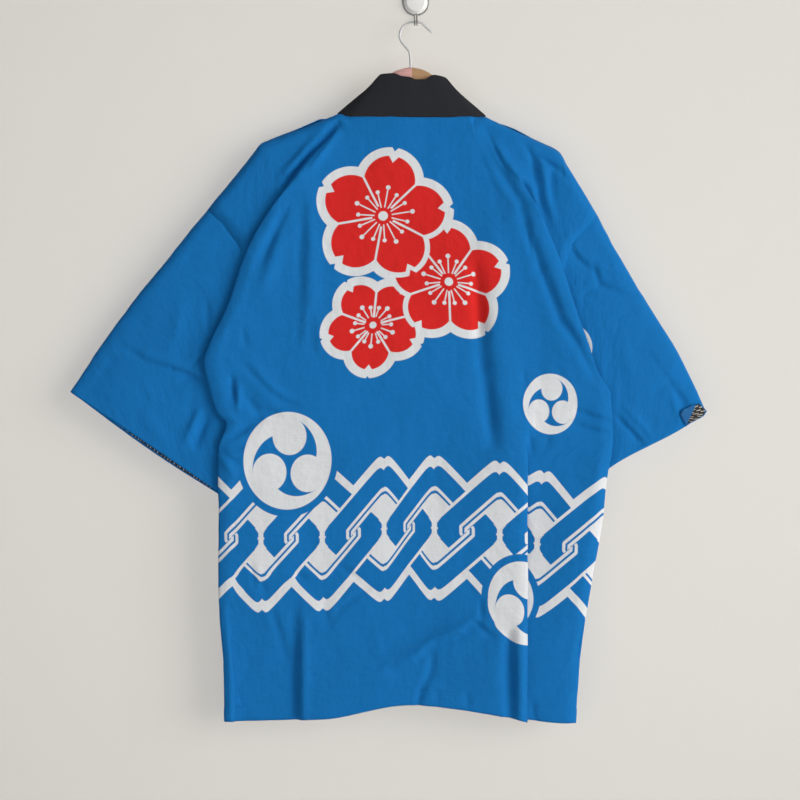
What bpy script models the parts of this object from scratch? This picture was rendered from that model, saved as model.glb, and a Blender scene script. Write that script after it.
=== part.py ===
"""A straight-cut kimono jacket on its hanger, hung from a small wall hook, with its back to the viewer.

Sizes are in millimetres and become metres where a mesh is made. The wall is the plane y = 0, the
jacket hangs in front of it at negative y, x runs to the viewer's right and z up. The origin is the
middle of the hook plate's back face. The word drop is the length of cloth below the shoulder.
"""

import math
from collections import namedtuple

import bmesh
import bpy
from mathutils import Vector

MM = 0.001

# Driving sizes of the cut
LENGTH = 830.0
ARMHOLE = 310.0
CLOTH = 1.2
COLLAR_CLOTH = 2.4
FACING_CLOTH = 1.0
SEAM_GAP = 0.4
SHOULDER_GAP = 0.8
UNDERARM_GAP = 1.6

# Signs of the two layers and of the two sides
BACK = -1.0
FRONT = 1.0
LEFT = -1.0
RIGHT = 1.0

# Depths from the wall: the back and fronts hang on each side of the hanger's plane
HANGER_Y = -32.0
SHOULDER_ROLL = 14.0
SLEEVE_HALF = 9.5
CUFF_HALF = 9.0
SIDE_SEAM_HALF = 0.8
CENTRE_X = -7.0
NECK_Z = -160.0
SHOULDER_Z = {LEFT: -160.0, RIGHT: -163.2}

# A fold's rounded edge, the cloth that leads into it and the slant of the layers behind it
FOLD_REACH = 12.0
FOLD_LEAD = 14.0
FOLD_TILT = 0.12
LEAD_LIFT = 0.4
LEAD_LIFT_DROP = 120.0
# Where the back turns in behind the collar at the neck
NECK_TURN = 14.0
NECK_TURN_Y = -43.5

# Rows of every panel, closer together at the shoulder roll and where the side edges turn
DROPS = (
    0, 2, 7, 14, 38, 62, 84, 96, 108, 135, 168, 205, 245, 281, 310,
    338, 366, 398, 414, 430, 458, 510, 590, 680, 760, 830,
)
PLEAT_TIP_DROP = 484
BACK_DROPS = tuple(sorted(DROPS + (PLEAT_TIP_DROP,)))

# How each side of the body folds: the visible fold, the tuck behind it, and the seam behind that
Side = namedtuple("Side", "drop fold_x fold_z tuck_x tuck_z seam_x seam_z face_y flange_y")
LEFT_SIDE = (
    Side(0, -118, -165.6, -211, -203, -277, -292, -45, -43),
    Side(25, -121, -186, -206, -222, -260, -309, -46, -43),
    Side(60, -150, -222, -186, -240, -239, -336, -49, -45),
    Side(84, -168, -246, -178, -256, -230, -358, -51.5, -46.5),
    Side(108, -186, -270, -172, -286, -222, -380, -53.5, -47.5),
    Side(140, -208, -300, -177, -325, -214, -410, -55, -48.5),
    Side(190, -234, -349, -181, -378, -210, -455, -55, -48.5),
    Side(260, -258, -420, -190, -450, -212, -515, -55, -48.5),
    Side(310, -282, -471, -200, -505, -215, -560, -55, -47.5),
    Side(338, -290, -497, -198, -535, -207, -587, -54.5, -46.5),
    Side(366, -284, -525, -197, -562, -205, -611, -54, -46.5),
    Side(410, -272, -567, -197, -600, -204, -641, -53.5, -46.5),
    Side(425, -260, -580, -197, -612, -204, -650, -53.5, -46.5),
    Side(458, -271, -618, -196, -642, -203, -668, -53.5, -46.5),
    Side(550, -270, -708, -198, -722, -205, -740, -53, -46),
    Side(675, -270, -832, -206, -840, -212, -850, -52, -44.5),
    Side(760, -264, -919, -211, -922, -217, -926, -51.5, -42.5),
    Side(830, -262, -990, -216, -990, -221, -990, -51, -42),
)
RIGHT_SIDE = (
    Side(0, 106, -169, 204, -214, 251, -296, -45, -43),
    Side(25, 110, -190, 201, -230, 233, -314, -46, -43),
    Side(60, 126, -221, 166, -240, 214, -340, -49, -45),
    Side(84, 141, -245, 151, -256, 207, -360, -51.5, -46.5),
    Side(108, 157, -270, 143, -287, 202, -380, -53.5, -47.5),
    Side(140, 173, -300, 150, -322, 198, -410, -55, -48.5),
    Side(190, 194, -350, 160, -378, 196, -455, -55, -48.5),
    Side(260, 217, -420, 170, -450, 199, -515, -55, -48.5),
    Side(310, 236, -470, 185, -505, 205, -560, -55, -47.5),
    Side(345, 249, -508, 184, -542, 195, -592, -54.5, -46.5),
    Side(380, 267, -542, 182, -574, 191, -620, -54, -46.5),
    Side(445, 269, -607, 179, -632, 187, -660, -54, -46),
    Side(488, 262, -650, 178, -668, 186, -690, -54, -45),
    Side(550, 255, -711, 178, -724, 186, -740, -53, -44),
    Side(650, 239, -810, 182, -818, 190, -828, -51.5, -42),
    Side(775, 223, -933, 195, -936, 201, -938, -50.5, -41.5),
    Side(830, 219, -992, 199, -992, 205, -992, -50, -41),
)

# The one deep pleat, left cloth over right, opening out below the waist
Pleat = namedtuple("Pleat", "drop edge_x depth left_y middle_y right_y")
PLEAT = (
    Pleat(0, 40, -20, -46, -46, -46),
    Pleat(300, 120, -30, -51.5, -51.5, -51.5),
    Pleat(458, 152, -14, -56, -52, -48),
    Pleat(510, 152, 8, -57.5, -52.5, -47.5),
    Pleat(660, 152, 27, -57.5, -52, -46.5),
    Pleat(830, 152, 48, -57.5, -51.5, -46),
)

# The hem rises in the middle, where the shoulders carry the cloth
Hem = namedtuple("Hem", "x z")
HEM = (
    Hem(-262, -990), Hem(-160, -989), Hem(-88, -981), Hem(-60, -973), Hem(-22, -967),
    Hem(20, -967), Hem(60, -973), Hem(101, -982), Hem(135, -985), Hem(152, -990), Hem(219, -992),
)

# Depth of the middle of the back and of the fronts
Field = namedtuple("Field", "drop y")
FIELD = (Field(0, -46), Field(60, -47), Field(150, -50.5), Field(830, -50.5))

# Soft ridges and troughs on the back, a row each: where it runs, its height and its half width
Crease = namedtuple("Crease", "x1 z1 x2 z2 height width")
BACK_CREASES = (
    Crease(-122, -190, -148, -228, 3.0, 9),
    Crease(-149, -270, -146, -452, 2.5, 13),
    Crease(-186, -330, -210, -400, 2.0, 10),
    Crease(-225, -519, -181, -556, 2.5, 12),
    Crease(104, -190, 122, -236, 2.0, 9),
    Crease(105, -330, 125, -620, 2.0, 22),
    Crease(83, -856, -38, -916, 2.5, 16),
)
STEP_X = -160.0
STEP_TOP_Z = -800.0
STEP_DEPTH = 4.0
STEP_WIDTH = 12.0
STEP_FADE = 120.0
CREASE_END = 0.35

# Fronts: the visible fold of each, a little inside the back's, and two soft waves below the chest
FrontFold = namedtuple("FrontFold", "drop left_x left_z right_x right_z")
FRONT_FOLD = (
    FrontFold(0, -145, -176.5, 133, -181),
    FrontFold(60, -160, -226, 141, -228),
    FrontFold(84, -170, -248, 146, -250),
    FrontFold(108, -184, -271, 156, -272),
    FrontFold(140, -202, -300, 170, -302),
    FrontFold(260, -250, -420, 210, -420),
    FrontFold(338, -280, -497, 240, -500),
    FrontFold(380, -274, -540, 258, -542),
    FrontFold(458, -264, -618, 260, -618),
    FrontFold(550, -263, -708, 248, -710),
    FrontFold(675, -262, -832, 230, -834),
    FrontFold(830, -254, -982, 212, -984),
)
FRONT_HEM_Z = -964.0
WAVE_DEPTH = 3.0
WAVE_TOP_Z = -330.0
WAVE_PITCH = 92.0
WAVE_FADE = 300.0

# Sleeves: the top fold, the under fold and the sleeve's mouth, each from its first point to its last
Edge = namedtuple("Edge", "share x z")
SLEEVE_TOP = {
    LEFT: (Edge(0, -277, -292), Edge(0.31, -340, -366), Edge(1, -471, -538)),
    RIGHT: (Edge(0, 251, -296), Edge(0.25, 284, -358), Edge(0.8, 373, -508), Edge(1, 399, -564)),
}
SLEEVE_UNDER = {
    LEFT: (Edge(0, -215, -560), Edge(0.5, -228, -640), Edge(1, -232, -702)),
    RIGHT: (Edge(0, 205, -560), Edge(0.5, 209, -640), Edge(1, 200, -705)),
}
SLEEVE_MOUTH = {
    LEFT: (Edge(0, -471, -538), Edge(0.82, -273, -674), Edge(1, -232, -702)),
    RIGHT: (Edge(0, 399, -564), Edge(0.1, 373, -584), Edge(0.6, 268, -641), Edge(1, 200, -705)),
}
SLEEVE_CREASES = {
    LEFT: (
        Crease(-340, -366, -277, -398, 3.0, 12),
        Crease(-407, -474, -293, -522, 2.5, 12),
        Crease(-286, -485, -315, -503, 2.0, 10),
    ),
    RIGHT: (
        Crease(197, -318, 300, -401, 3.0, 13),
        Crease(234, -445, 329, -438, 2.0, 12),
        Crease(270, -570, 307, -602, 2.0, 11),
    ),
}
SLEEVE_SHARES = (0, 0.06, 0.14, 0.23, 0.32, 0.42, 0.52, 0.62, 0.72, 0.82, 0.91, 1)
WALL_SIDE_CUFF_DROP = 5.0

# The printed facing inside each cuff
FACING_SHARES = (0.90, 0.945, 0.99)
FACING_DROPS = (62, 84, 108, 135, 168, 205, 245)

# Collar band: its seam edge and its free edge, down each front and round the back of the neck
Collar = namedtuple("Collar", "drop seam_x seam_y seam_z free_x free_y free_z")
COLLAR_LEG = {
    LEFT: (
        Collar(0, -102, -33, -156.8, -61, -31, -116),
        Collar(2, -102.6, -28, -158.8, -60, -27, -122),
        Collar(7, -103, -22.5, -164, -58, -20, -134),
        Collar(28, -102, -17, -188, -50, -15, -168),
        Collar(70, -99, -13, -230, -41, -11, -222),
        Collar(240, -92, -11, -392, -33, -9, -392),
        Collar(540, -84, -10, -683, -25, -8, -683),
        Collar(830, -78, -10, -962, -19, -8, -962),
    ),
    RIGHT: (
        Collar(0, 91, -33, -159.8, 52, -31, -119),
        Collar(2, 91.6, -28, -161.8, 51, -27, -126),
        Collar(7, 92, -22.5, -167, 49, -20, -138),
        Collar(28, 91, -17, -192, 40, -15, -172),
        Collar(70, 88, -13, -234, 31, -11, -226),
        Collar(240, 81, -11, -396, 22, -9, -396),
        Collar(540, 72, -10, -685, 13, -8, -685),
        Collar(830, 64, -10, -962, 5, -8, -962),
    ),
}
COLLAR_BACK = (
    Collar(0, -102, -33, -156.8, -61, -31, -116),
    Collar(1, -90, -42, -158.4, -52, -40, -104),
    Collar(2, -60, -45.5, -159.4, -36, -43.5, -102.5),
    Collar(3, -7, -46.5, -159.4, -6, -44.5, -107),
    Collar(4, 48, -45.5, -159.4, 28, -43.5, -105.5),
    Collar(5, 80, -42, -158.6, 43, -40, -108),
    Collar(6, 91, -33, -159.8, 52, -31, -119),
)
COLLAR_JOIN_DROP = 38.0
NECK_STEPS = 12
COLLAR_ACROSS = 3
COLLAR_BOW = 1.5

# Hanger: a bowed wooden bar, given by its top line, its height and its half thickness
Bar = namedtuple("Bar", "x top_z height half")
HANGER_BAR = (
    Bar(-209, -203.5, 14, 3.5), Bar(-206, -202.2, 18, 5.2), Bar(-195, -197.7, 21, 6.2),
    Bar(-160, -183.8, 23, 6.5), Bar(-118, -167.2, 26, 6.5), Bar(-104, -162.2, 26, 6.5),
    Bar(-94, -160.4, 26, 6.2), Bar(-80, -152, 27, 6.0), Bar(-50, -127, 31, 6.2),
    Bar(-28, -108, 35, 6.5), Bar(-14, -95.5, 40, 6.5), Bar(-7, -92.5, 42, 6.5),
    Bar(0, -94, 41, 6.5), Bar(14, -105, 37, 6.5), Bar(36, -124, 32, 6.2),
    Bar(68, -153, 28, 6.0), Bar(82, -163.6, 26, 6.2), Bar(92, -166, 26, 6.5),
    Bar(106, -170.6, 26, 6.5), Bar(148, -189.8, 23, 6.5), Bar(188, -208.2, 20, 6.2),
    Bar(199, -213.4, 17, 5.2), Bar(202, -215.2, 13, 3.5),
)
BAR_SIDES = 12
BAR_SQUARENESS = 0.75
BAR_CLEARANCE = 0.5
HOOK_WIRE = 3.0
HOOK_PATH = (
    (-7, -92.4), (-7.4, -84), (-9.4, -76), (-14.5, -69), (-20.3, -60.5), (-23, -51), (-20.6, -42.5),
    (-14.5, -36.4), (-6.5, -33.4), (1.5, -33), (8.5, -35.4), (15.2, -40.4), (22, -46.6),
)

# Wall hook: a turned plate, with one wire bent round its foot and doubled into a hook
PLATE_FOOT_RADIUS = 16.6
PLATE_FACE_RADIUS = 13.7
PLATE_PROFILE = (
    (0.0, PLATE_FOOT_RADIUS), (-3.0, PLATE_FOOT_RADIUS), (-4.2, PLATE_FACE_RADIUS + 0.8),
    (-6.8, PLATE_FACE_RADIUS), (-8.0, PLATE_FACE_RADIUS - 1.2),
)
PLATE_SIDES = 32
WALL_WIRE = 2.0
RING_RADIUS = PLATE_FOOT_RADIUS + 0.3 + WALL_WIRE / 2
RING_Y = -1.3
RING_STEPS = 22
HOOK_STRAND_X = 1.6
WALL_HOOK_DROP = ((-3.2, -21), (-6.5, -26), (-12, -31), (-19, -35), (-26, -36.4), (-33, -36.3))
WALL_HOOK_RISE = ((-38.6, -33.2), (-41.2, -27.6), (-41.8, -22.5))
WALL_HOOK_TIP = (-41.8, -20.8)


def clear_scene():
    for item in list(bpy.data.objects):
        bpy.data.objects.remove(item, do_unlink=True)


def hermite(start, end, leave, arrive, share):
    """Cubic between two values with the slopes at its ends."""
    square = share * share
    cube = square * share
    first = (2 * cube - 3 * square + 1) * start + (cube - 2 * square + share) * leave
    return first + (3 * square - 2 * cube) * end + (cube - square) * arrive


def slope_at(keys, values, index):
    """Slope at one row that never lets the curve overshoot its rows."""
    if index == 0:
        return (values[1] - values[0]) / (keys[1] - keys[0])
    before = (values[index] - values[index - 1]) / (keys[index] - keys[index - 1])
    if index == len(keys) - 1:
        return before
    after = (values[index + 1] - values[index]) / (keys[index + 1] - keys[index])
    if before * after <= 0:
        return 0.0
    return 2 * before * after / (before + after)


def read_table(rows, key):
    """Read a table smoothly between its rows; the first column is the key."""
    keys = [row[0] for row in rows]
    if key <= keys[0]:
        return rows[0]
    if key >= keys[-1]:
        return rows[-1]
    last = next(index for index in range(1, len(keys)) if key <= keys[index])
    span = keys[last] - keys[last - 1]
    share = (key - keys[last - 1]) / span
    read = [key]
    for column in range(1, len(rows[0])):
        values = [row[column] for row in rows]
        leave = slope_at(keys, values, last - 1) * span
        arrive = slope_at(keys, values, last) * span
        read.append(hermite(values[last - 1], values[last], leave, arrive, share))
    return type(rows[0])(*read)


def smooth_line(points, pieces):
    """Points along a smooth line through the given ones, with pieces[i] steps in stretch i."""
    keys = list(range(len(points)))
    line = [points[0].copy()]
    for stretch, count in enumerate(pieces):
        for step in range(1, count + 1):
            spot = Vector()
            for axis in range(3):
                values = [point[axis] for point in points]
                leave = slope_at(keys, values, stretch)
                arrive = slope_at(keys, values, stretch + 1)
                spot[axis] = hermite(values[stretch], values[stretch + 1], leave, arrive, step / count)
            line.append(spot)
    return line


def smooth_step(value):
    share = min(max(value, 0.0), 1.0)
    return share * share * (3 - 2 * share)


def shoulder_roll(drop):
    """How far the cloth has left the hanger's plane as it comes over the shoulder, 0 to 1."""
    if drop >= SHOULDER_ROLL:
        return 1.0
    return math.sqrt(1 - (1 - drop / SHOULDER_ROLL) ** 2)


def armhole_half(drop):
    """Half the depth between the back and front edges of the armhole."""
    closing = max(0.0, 1 - (drop / ARMHOLE) ** 6)
    return SLEEVE_HALF * shoulder_roll(drop) * math.sqrt(closing)


def seam_y(layer, drop):
    """Depth of a panel's side edge: open at the armhole, face to face below it."""
    return HANGER_Y + layer * max(SIDE_SEAM_HALF, armhole_half(min(drop, ARMHOLE)))


def across_hanger(y, layer):
    """The back's depth, or its mirror image behind the hanger for a front."""
    return y if layer == BACK else 2 * HANGER_Y - y


def rolled(y, layer, drop):
    """Depth of a point near the shoulder, where both layers meet over the hanger."""
    top = HANGER_Y + layer * SHOULDER_GAP / 2
    return top + (across_hanger(y, layer) - top) * shoulder_roll(drop)


def crease_height(creases, x, z):
    """Height of the creases at a place, each fading towards its ends."""
    height = 0.0
    for crease in creases:
        run_x = crease.x2 - crease.x1
        run_z = crease.z2 - crease.z1
        length = math.hypot(run_x, run_z)
        along = ((x - crease.x1) * run_x + (z - crease.z1) * run_z) / length ** 2
        share = min(max(along, 0.0), 1.0)
        off = math.hypot(x - crease.x1 - share * run_x, z - crease.z1 - share * run_z)
        taper = CREASE_END + (1 - CREASE_END) * math.sin(math.pi * share)
        height += crease.height * taper * math.exp(-(off / crease.width) ** 2)
    return height


def side_keys(row, side, layer, fold_x, fold_z):
    """Points from the lead of the visible fold, round it and the tuck behind, to the side seam."""
    depth = (row.tuck_x - fold_x) * -side
    reach = min(FOLD_REACH, 0.45 * depth) if depth > 0 else depth / 3
    seam_run = abs(row.seam_x - row.tuck_x)
    behind = min(FOLD_REACH, seam_run / 2)
    behind_share = behind / max(seam_run, 1.0)
    lead_z = fold_z + LEAD_LIFT * FOLD_LEAD * max(0.0, 1 - row.drop / LEAD_LIFT_DROP)
    near_z = fold_z + (row.tuck_z - fold_z) / 3
    far_z = row.tuck_z - (row.tuck_z - fold_z) / 3
    edge_y = seam_y(layer, row.drop)
    seam_back_y = edge_y if layer == BACK else 2 * HANGER_Y - edge_y
    fold_y = (row.face_y + row.flange_y) / 2
    tuck_y = (row.flange_y + seam_back_y) / 2
    tilt = FOLD_TILT * (seam_back_y - row.face_y)
    places = (
        (fold_x - side * FOLD_LEAD, row.face_y, lead_z),
        (fold_x, fold_y, fold_z),
        (fold_x - side * reach, row.flange_y - tilt, near_z),
        (row.tuck_x + side * reach, row.flange_y + tilt, far_z),
        (row.tuck_x, tuck_y, row.tuck_z),
        (row.tuck_x + side * behind, seam_back_y,
         row.tuck_z + (row.seam_z - row.tuck_z) * behind_share),
    )
    keys = [Vector((x, rolled(y, layer, row.drop), z)) for x, y, z in places]
    keys.append(Vector((row.seam_x, edge_y, row.seam_z)))
    return keys


def field_z(x, drop):
    hem = read_table(HEM, x).z
    return NECK_Z + (hem - NECK_Z) * drop / LENGTH


def back_relief(x, z):
    """Creases of the back and the soft step near its left edge, towards the viewer."""
    step = smooth_step((STEP_X - x) / STEP_WIDTH + 0.5) * smooth_step((STEP_TOP_Z - z) / STEP_FADE)
    return crease_height(BACK_CREASES, x, z) - STEP_DEPTH * step


def neck_turn(lead, side, drop, middle_y):
    """The point beside a fold's lead where the back turns in behind the collar at the neck."""
    x = lead.x - side * NECK_TURN
    below = min(drop / SHOULDER_ROLL, 1.0)
    y = NECK_TURN_Y + ((middle_y + 2 * lead.y) / 3 - NECK_TURN_Y) * below
    return Vector((x, y, field_z(x, drop)))


# Steps between a row's points: left seam to fold, fold to pleat, the pleat, right fold to seam
BACK_PIECES = (2, 2, 2, 3, 2, 2) + (2, 3, 4, 4) + (2, 2, 1, 2, 2) + (3, 2) + (2, 2, 3, 2, 2, 2)
# The left stretches end where the creases of the back begin
BACK_FOLD_STRETCHES = 6


def back_row(drop):
    """One row of the back panel, from its left side seam to its right one."""
    left = read_table(LEFT_SIDE, drop)
    right = read_table(RIGHT_SIDE, drop)
    pleat = read_table(PLEAT, drop)
    middle_y = read_table(FIELD, drop).y
    left_keys = side_keys(left, LEFT, BACK, left.fold_x, left.fold_z)
    right_keys = side_keys(right, RIGHT, BACK, right.fold_x, right.fold_z)
    reach = min(FOLD_REACH, 0.45 * pleat.depth) if pleat.depth > 0 else pleat.depth / 3
    inner_x = pleat.edge_x - pleat.depth
    tilt = FOLD_TILT * (pleat.right_y - pleat.left_y)
    pleat_places = (
        (pleat.edge_x - FOLD_REACH, pleat.left_y),
        (pleat.edge_x, (pleat.left_y + pleat.middle_y) / 2),
        (pleat.edge_x - reach, pleat.middle_y - tilt),
        (inner_x + reach, pleat.middle_y + tilt),
        (inner_x, (pleat.middle_y + pleat.right_y) / 2),
        (inner_x + FOLD_REACH, pleat.right_y),
    )
    quarter_x = (CENTRE_X + left_keys[0].x) / 2
    field = [neck_turn(left_keys[0], LEFT, drop, middle_y)]
    field.append(Vector((quarter_x, middle_y, field_z(quarter_x, drop))))
    field.append(Vector((CENTRE_X, middle_y, field_z(CENTRE_X, drop))))
    field.extend(Vector((x, y, field_z(x, drop))) for x, y in pleat_places)
    field.append(neck_turn(right_keys[0], RIGHT, drop, middle_y))
    keys = list(reversed(left_keys)) + field + right_keys
    row = smooth_line(keys, BACK_PIECES)
    first = sum(BACK_PIECES[:BACK_FOLD_STRETCHES])
    last = len(row) - first
    for point in row[first:last]:
        point.y -= back_relief(point.x, point.z) * shoulder_roll(drop)
    return row


# Steps between a front row's points: two stretches of front, then the fold and tuck to the seam
FRONT_PIECES = (4, 4, 2, 2, 3, 2, 2, 2)
FRONT_STRETCHES = 2


def front_row(side, drop):
    """One row of a front panel, from the collar's seam to the side seam."""
    table = LEFT_SIDE if side == LEFT else RIGHT_SIDE
    row = read_table(table, drop)
    fold = read_table(FRONT_FOLD, drop)
    leg = read_table(COLLAR_LEG[side], drop)
    fold_x = fold.left_x if side == LEFT else fold.right_x
    fold_z = fold.left_z if side == LEFT else fold.right_z
    keys = side_keys(row, side, FRONT, fold_x, fold_z)
    inner_z = SHOULDER_Z[side] + (FRONT_HEM_Z - SHOULDER_Z[side]) * drop / LENGTH
    inner_y = HANGER_Y + SHOULDER_GAP / 2 if drop == 0 else leg.seam_y
    inner = Vector((leg.seam_x + side * SEAM_GAP, inner_y, inner_z))
    middle = (inner + keys[0]) / 2
    points = smooth_line([inner, middle] + keys, FRONT_PIECES)
    for point in points[1:sum(FRONT_PIECES[:FRONT_STRETCHES]) + 1]:
        fade = smooth_step((WAVE_TOP_Z - point.z) / WAVE_FADE)
        off = abs(point.x - inner.x)
        share = math.sin(math.pi * min(off / abs(keys[0].x - inner.x), 1.0))
        point.y += WAVE_DEPTH * fade * share * math.cos(2 * math.pi * off / WAVE_PITCH)
    return points


def sleeve_point(side, share, around):
    """A point of the sleeve: share runs from armhole to mouth, around from the top fold and back."""
    layer = BACK if around <= 0.5 else FRONT
    down = 2 * around if around <= 0.5 else 2 - 2 * around
    drop = down * ARMHOLE
    table = LEFT_SIDE if side == LEFT else RIGHT_SIDE
    seam = read_table(table, drop)
    mouth = read_table(SLEEVE_MOUTH[side], down)
    top = read_table(SLEEVE_TOP[side], share)
    under = read_table(SLEEVE_UNDER[side], share)
    corners = (table[0], read_table(table, ARMHOLE), SLEEVE_MOUTH[side][0], SLEEVE_MOUTH[side][-1])
    flat = []
    for seam_value, mouth_value, top_value, under_value, corner in (
        (seam.seam_x, mouth.x, top.x, under.x,
         (corners[0].seam_x, corners[1].seam_x, corners[2].x, corners[3].x)),
        (seam.seam_z, mouth.z, top.z, under.z,
         (corners[0].seam_z, corners[1].seam_z, corners[2].z, corners[3].z)),
    ):
        along = (1 - share) * seam_value + share * mouth_value
        across = (1 - down) * top_value + down * under_value
        near = (1 - share) * ((1 - down) * corner[0] + down * corner[1])
        far = share * ((1 - down) * corner[2] + down * corner[3])
        flat.append(along + across - near - far)
    x, z = flat
    start_half = armhole_half(drop)
    end_half = CUFF_HALF * math.sqrt(max(0.0, 1 - abs(2 * down - 1) ** 4))
    blend = smooth_step(share)
    half = start_half + (end_half - start_half) * blend
    y = HANGER_Y + layer * half
    if layer == BACK:
        y -= crease_height(SLEEVE_CREASES[side], x, z) * math.sin(math.pi * down)
    else:
        z -= WALL_SIDE_CUFF_DROP * share ** 3 * math.sin(math.pi * down)
    gap = SEAM_GAP + UNDERARM_GAP * down ** 4
    return Vector((x + side * gap, y, z))


def sheet_mesh(name, columns, rows, place, welded=False):
    """A grid of columns by rows bent to its place, in metres; welded joins its first and last column."""
    mesh = bpy.data.meshes.new(name)
    grid = bmesh.new()
    bmesh.ops.create_grid(grid, x_segments=columns - 1, y_segments=rows - 1, size=1.0)
    for vertex in grid.verts:
        column = round((vertex.co.x + 1) / 2 * (columns - 1))
        row = round((vertex.co.y + 1) / 2 * (rows - 1))
        vertex.co = place(column, row) * MM
    if welded:
        bmesh.ops.remove_doubles(grid, verts=grid.verts, dist=0.00002)
    grid.to_mesh(mesh)
    grid.free()
    return mesh


def material(name, colour, roughness, metallic=0.0):
    finish = bpy.data.materials.new(name)
    finish.use_nodes = True
    shader = finish.node_tree.nodes["Principled BSDF"]
    shader.inputs["Base Color"].default_value = (*colour, 1.0)
    shader.inputs["Roughness"].default_value = roughness
    shader.inputs["Metallic"].default_value = metallic
    return finish


def add_object(name, data, finish, thickness=None):
    """Link an object; cloth gets its thickness evenly about its middle."""
    item = bpy.data.objects.new(name, data)
    bpy.context.scene.collection.objects.link(item)
    data.materials.append(finish)
    if thickness is not None:
        wall = item.modifiers.new("cloth thickness", "SOLIDIFY")
        wall.thickness = thickness * MM
        wall.offset = 0.0
        wall.use_even_offset = False
        wall.use_rim = True
    return item


def cloth_panel(name, rows, finish, thickness=CLOTH):
    """A panel from its rows of points."""
    mesh = sheet_mesh(name, len(rows[0]), len(rows), lambda column, row: rows[row][column])
    return add_object(name, mesh, finish, thickness)


def build_body(finish):
    cloth_panel("back_panel", [back_row(drop) for drop in BACK_DROPS], finish)
    cloth_panel("front_left", [front_row(LEFT, drop) for drop in DROPS], finish)
    cloth_panel("front_right", [front_row(RIGHT, drop) for drop in DROPS], finish)


def build_sleeve(name, side, finish):
    """A flat tube from the armhole to the sleeve's mouth."""
    downs = [drop / ARMHOLE for drop in DROPS if drop <= ARMHOLE]
    arounds = [down / 2 for down in downs] + [1 - down / 2 for down in reversed(downs[:-1])]

    def place(column, row):
        return sleeve_point(side, SLEEVE_SHARES[row], arounds[column])

    mesh = sheet_mesh(name, len(arounds), len(SLEEVE_SHARES), place, welded=True)
    add_object(name, mesh, finish, CLOTH)


def build_facing(name, side, finish):
    """The printed strip on the inner face of the sleeve's wall side, just above its edge."""
    inset = (CLOTH + FACING_CLOTH) / 2 + SEAM_GAP

    def place(column, row):
        around = 1 - FACING_DROPS[column] / ARMHOLE / 2
        spot = sleeve_point(side, FACING_SHARES[row], around)
        spot.y -= inset
        return spot

    mesh = sheet_mesh(name, len(FACING_DROPS), len(FACING_SHARES), place)
    add_object(name, mesh, finish, FACING_CLOTH)


def leg_stations(side):
    """Sections of the band down one front, from just under the shoulder to the hem."""
    return [read_table(COLLAR_LEG[side], drop) for drop in DROPS if drop >= COLLAR_JOIN_DROP]


def neck_stations():
    """Sections of the band over the left shoulder, round the neck and over the right shoulder."""
    drops = [drop for drop in DROPS if 0 < drop < COLLAR_JOIN_DROP] + [COLLAR_JOIN_DROP - SEAM_GAP]
    last = COLLAR_BACK[-1].drop
    left = [read_table(COLLAR_LEG[LEFT], drop) for drop in reversed(drops)]
    neck = [read_table(COLLAR_BACK, step * last / NECK_STEPS) for step in range(NECK_STEPS + 1)]
    right = [read_table(COLLAR_LEG[RIGHT], drop) for drop in drops]
    return left + neck + right


def build_collar_piece(name, stations, finish):
    """A stretch of the band, sewn along one edge, with a slight bow across it behind the neck."""
    rows = []
    for station in stations:
        seam = Vector((station.seam_x, station.seam_y, station.seam_z))
        free = Vector((station.free_x, station.free_y, station.free_z))
        bow = COLLAR_BOW if station.seam_y < HANGER_Y else 0.0
        row = []
        for step in range(COLLAR_ACROSS + 1):
            share = step / COLLAR_ACROSS
            spot = seam.lerp(free, share)
            spot.y -= bow * math.sin(math.pi * share)
            row.append(spot)
        rows.append(row)
    cloth_panel(name, rows, finish, COLLAR_CLOTH)


def build_collar(finish):
    """The collar band in three stretches: round the neck and down each front."""
    build_collar_piece("collar_neck", neck_stations(), finish)
    build_collar_piece("collar_left", leg_stations(LEFT), finish)
    build_collar_piece("collar_right", leg_stations(RIGHT), finish)


def bar_section(bar):
    """A rounded section of the hanger's bar, as points round its middle."""
    points = []
    for step in range(BAR_SIDES):
        turn = 2 * math.pi * step / BAR_SIDES
        across = math.copysign(abs(math.cos(turn)) ** BAR_SQUARENESS, math.cos(turn))
        up = math.copysign(abs(math.sin(turn)) ** BAR_SQUARENESS, math.sin(turn))
        z = bar.top_z - BAR_CLEARANCE - bar.height / 2 * (1 - up)
        points.append(Vector((bar.x, HANGER_Y + bar.half * across, z)))
    return points


def build_hanger_bar(finish):
    sections = [bar_section(bar) for bar in HANGER_BAR]
    mesh = sheet_mesh(
        "hanger_bar", BAR_SIDES + 1, len(sections),
        lambda column, row: sections[row][column % BAR_SIDES], welded=True)
    ends = bmesh.new()
    ends.from_mesh(mesh)
    bmesh.ops.holes_fill(ends, edges=ends.edges, sides=BAR_SIDES)
    bmesh.ops.recalc_face_normals(ends, faces=ends.faces)
    ends.to_mesh(mesh)
    ends.free()
    add_object("hanger_bar", mesh, finish)


def wire(name, places, thickness, closed, finish):
    """A round wire through its places."""
    data = bpy.data.curves.new(name, "CURVE")
    data.dimensions = "3D"
    data.bevel_depth = thickness / 2 * MM
    data.bevel_resolution = 2
    data.use_fill_caps = not closed
    run = data.splines.new("POLY")
    run.points.add(len(places) - 1)
    for point, place in zip(run.points, places):
        point.co = (*(Vector(place) * MM), 1.0)
    run.use_cyclic_u = closed
    return add_object(name, data, finish)


def build_hanger_hook(finish):
    wire("hanger_hook", [(x, HANGER_Y, z) for x, z in HOOK_PATH], HOOK_WIRE, False, finish)


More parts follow.
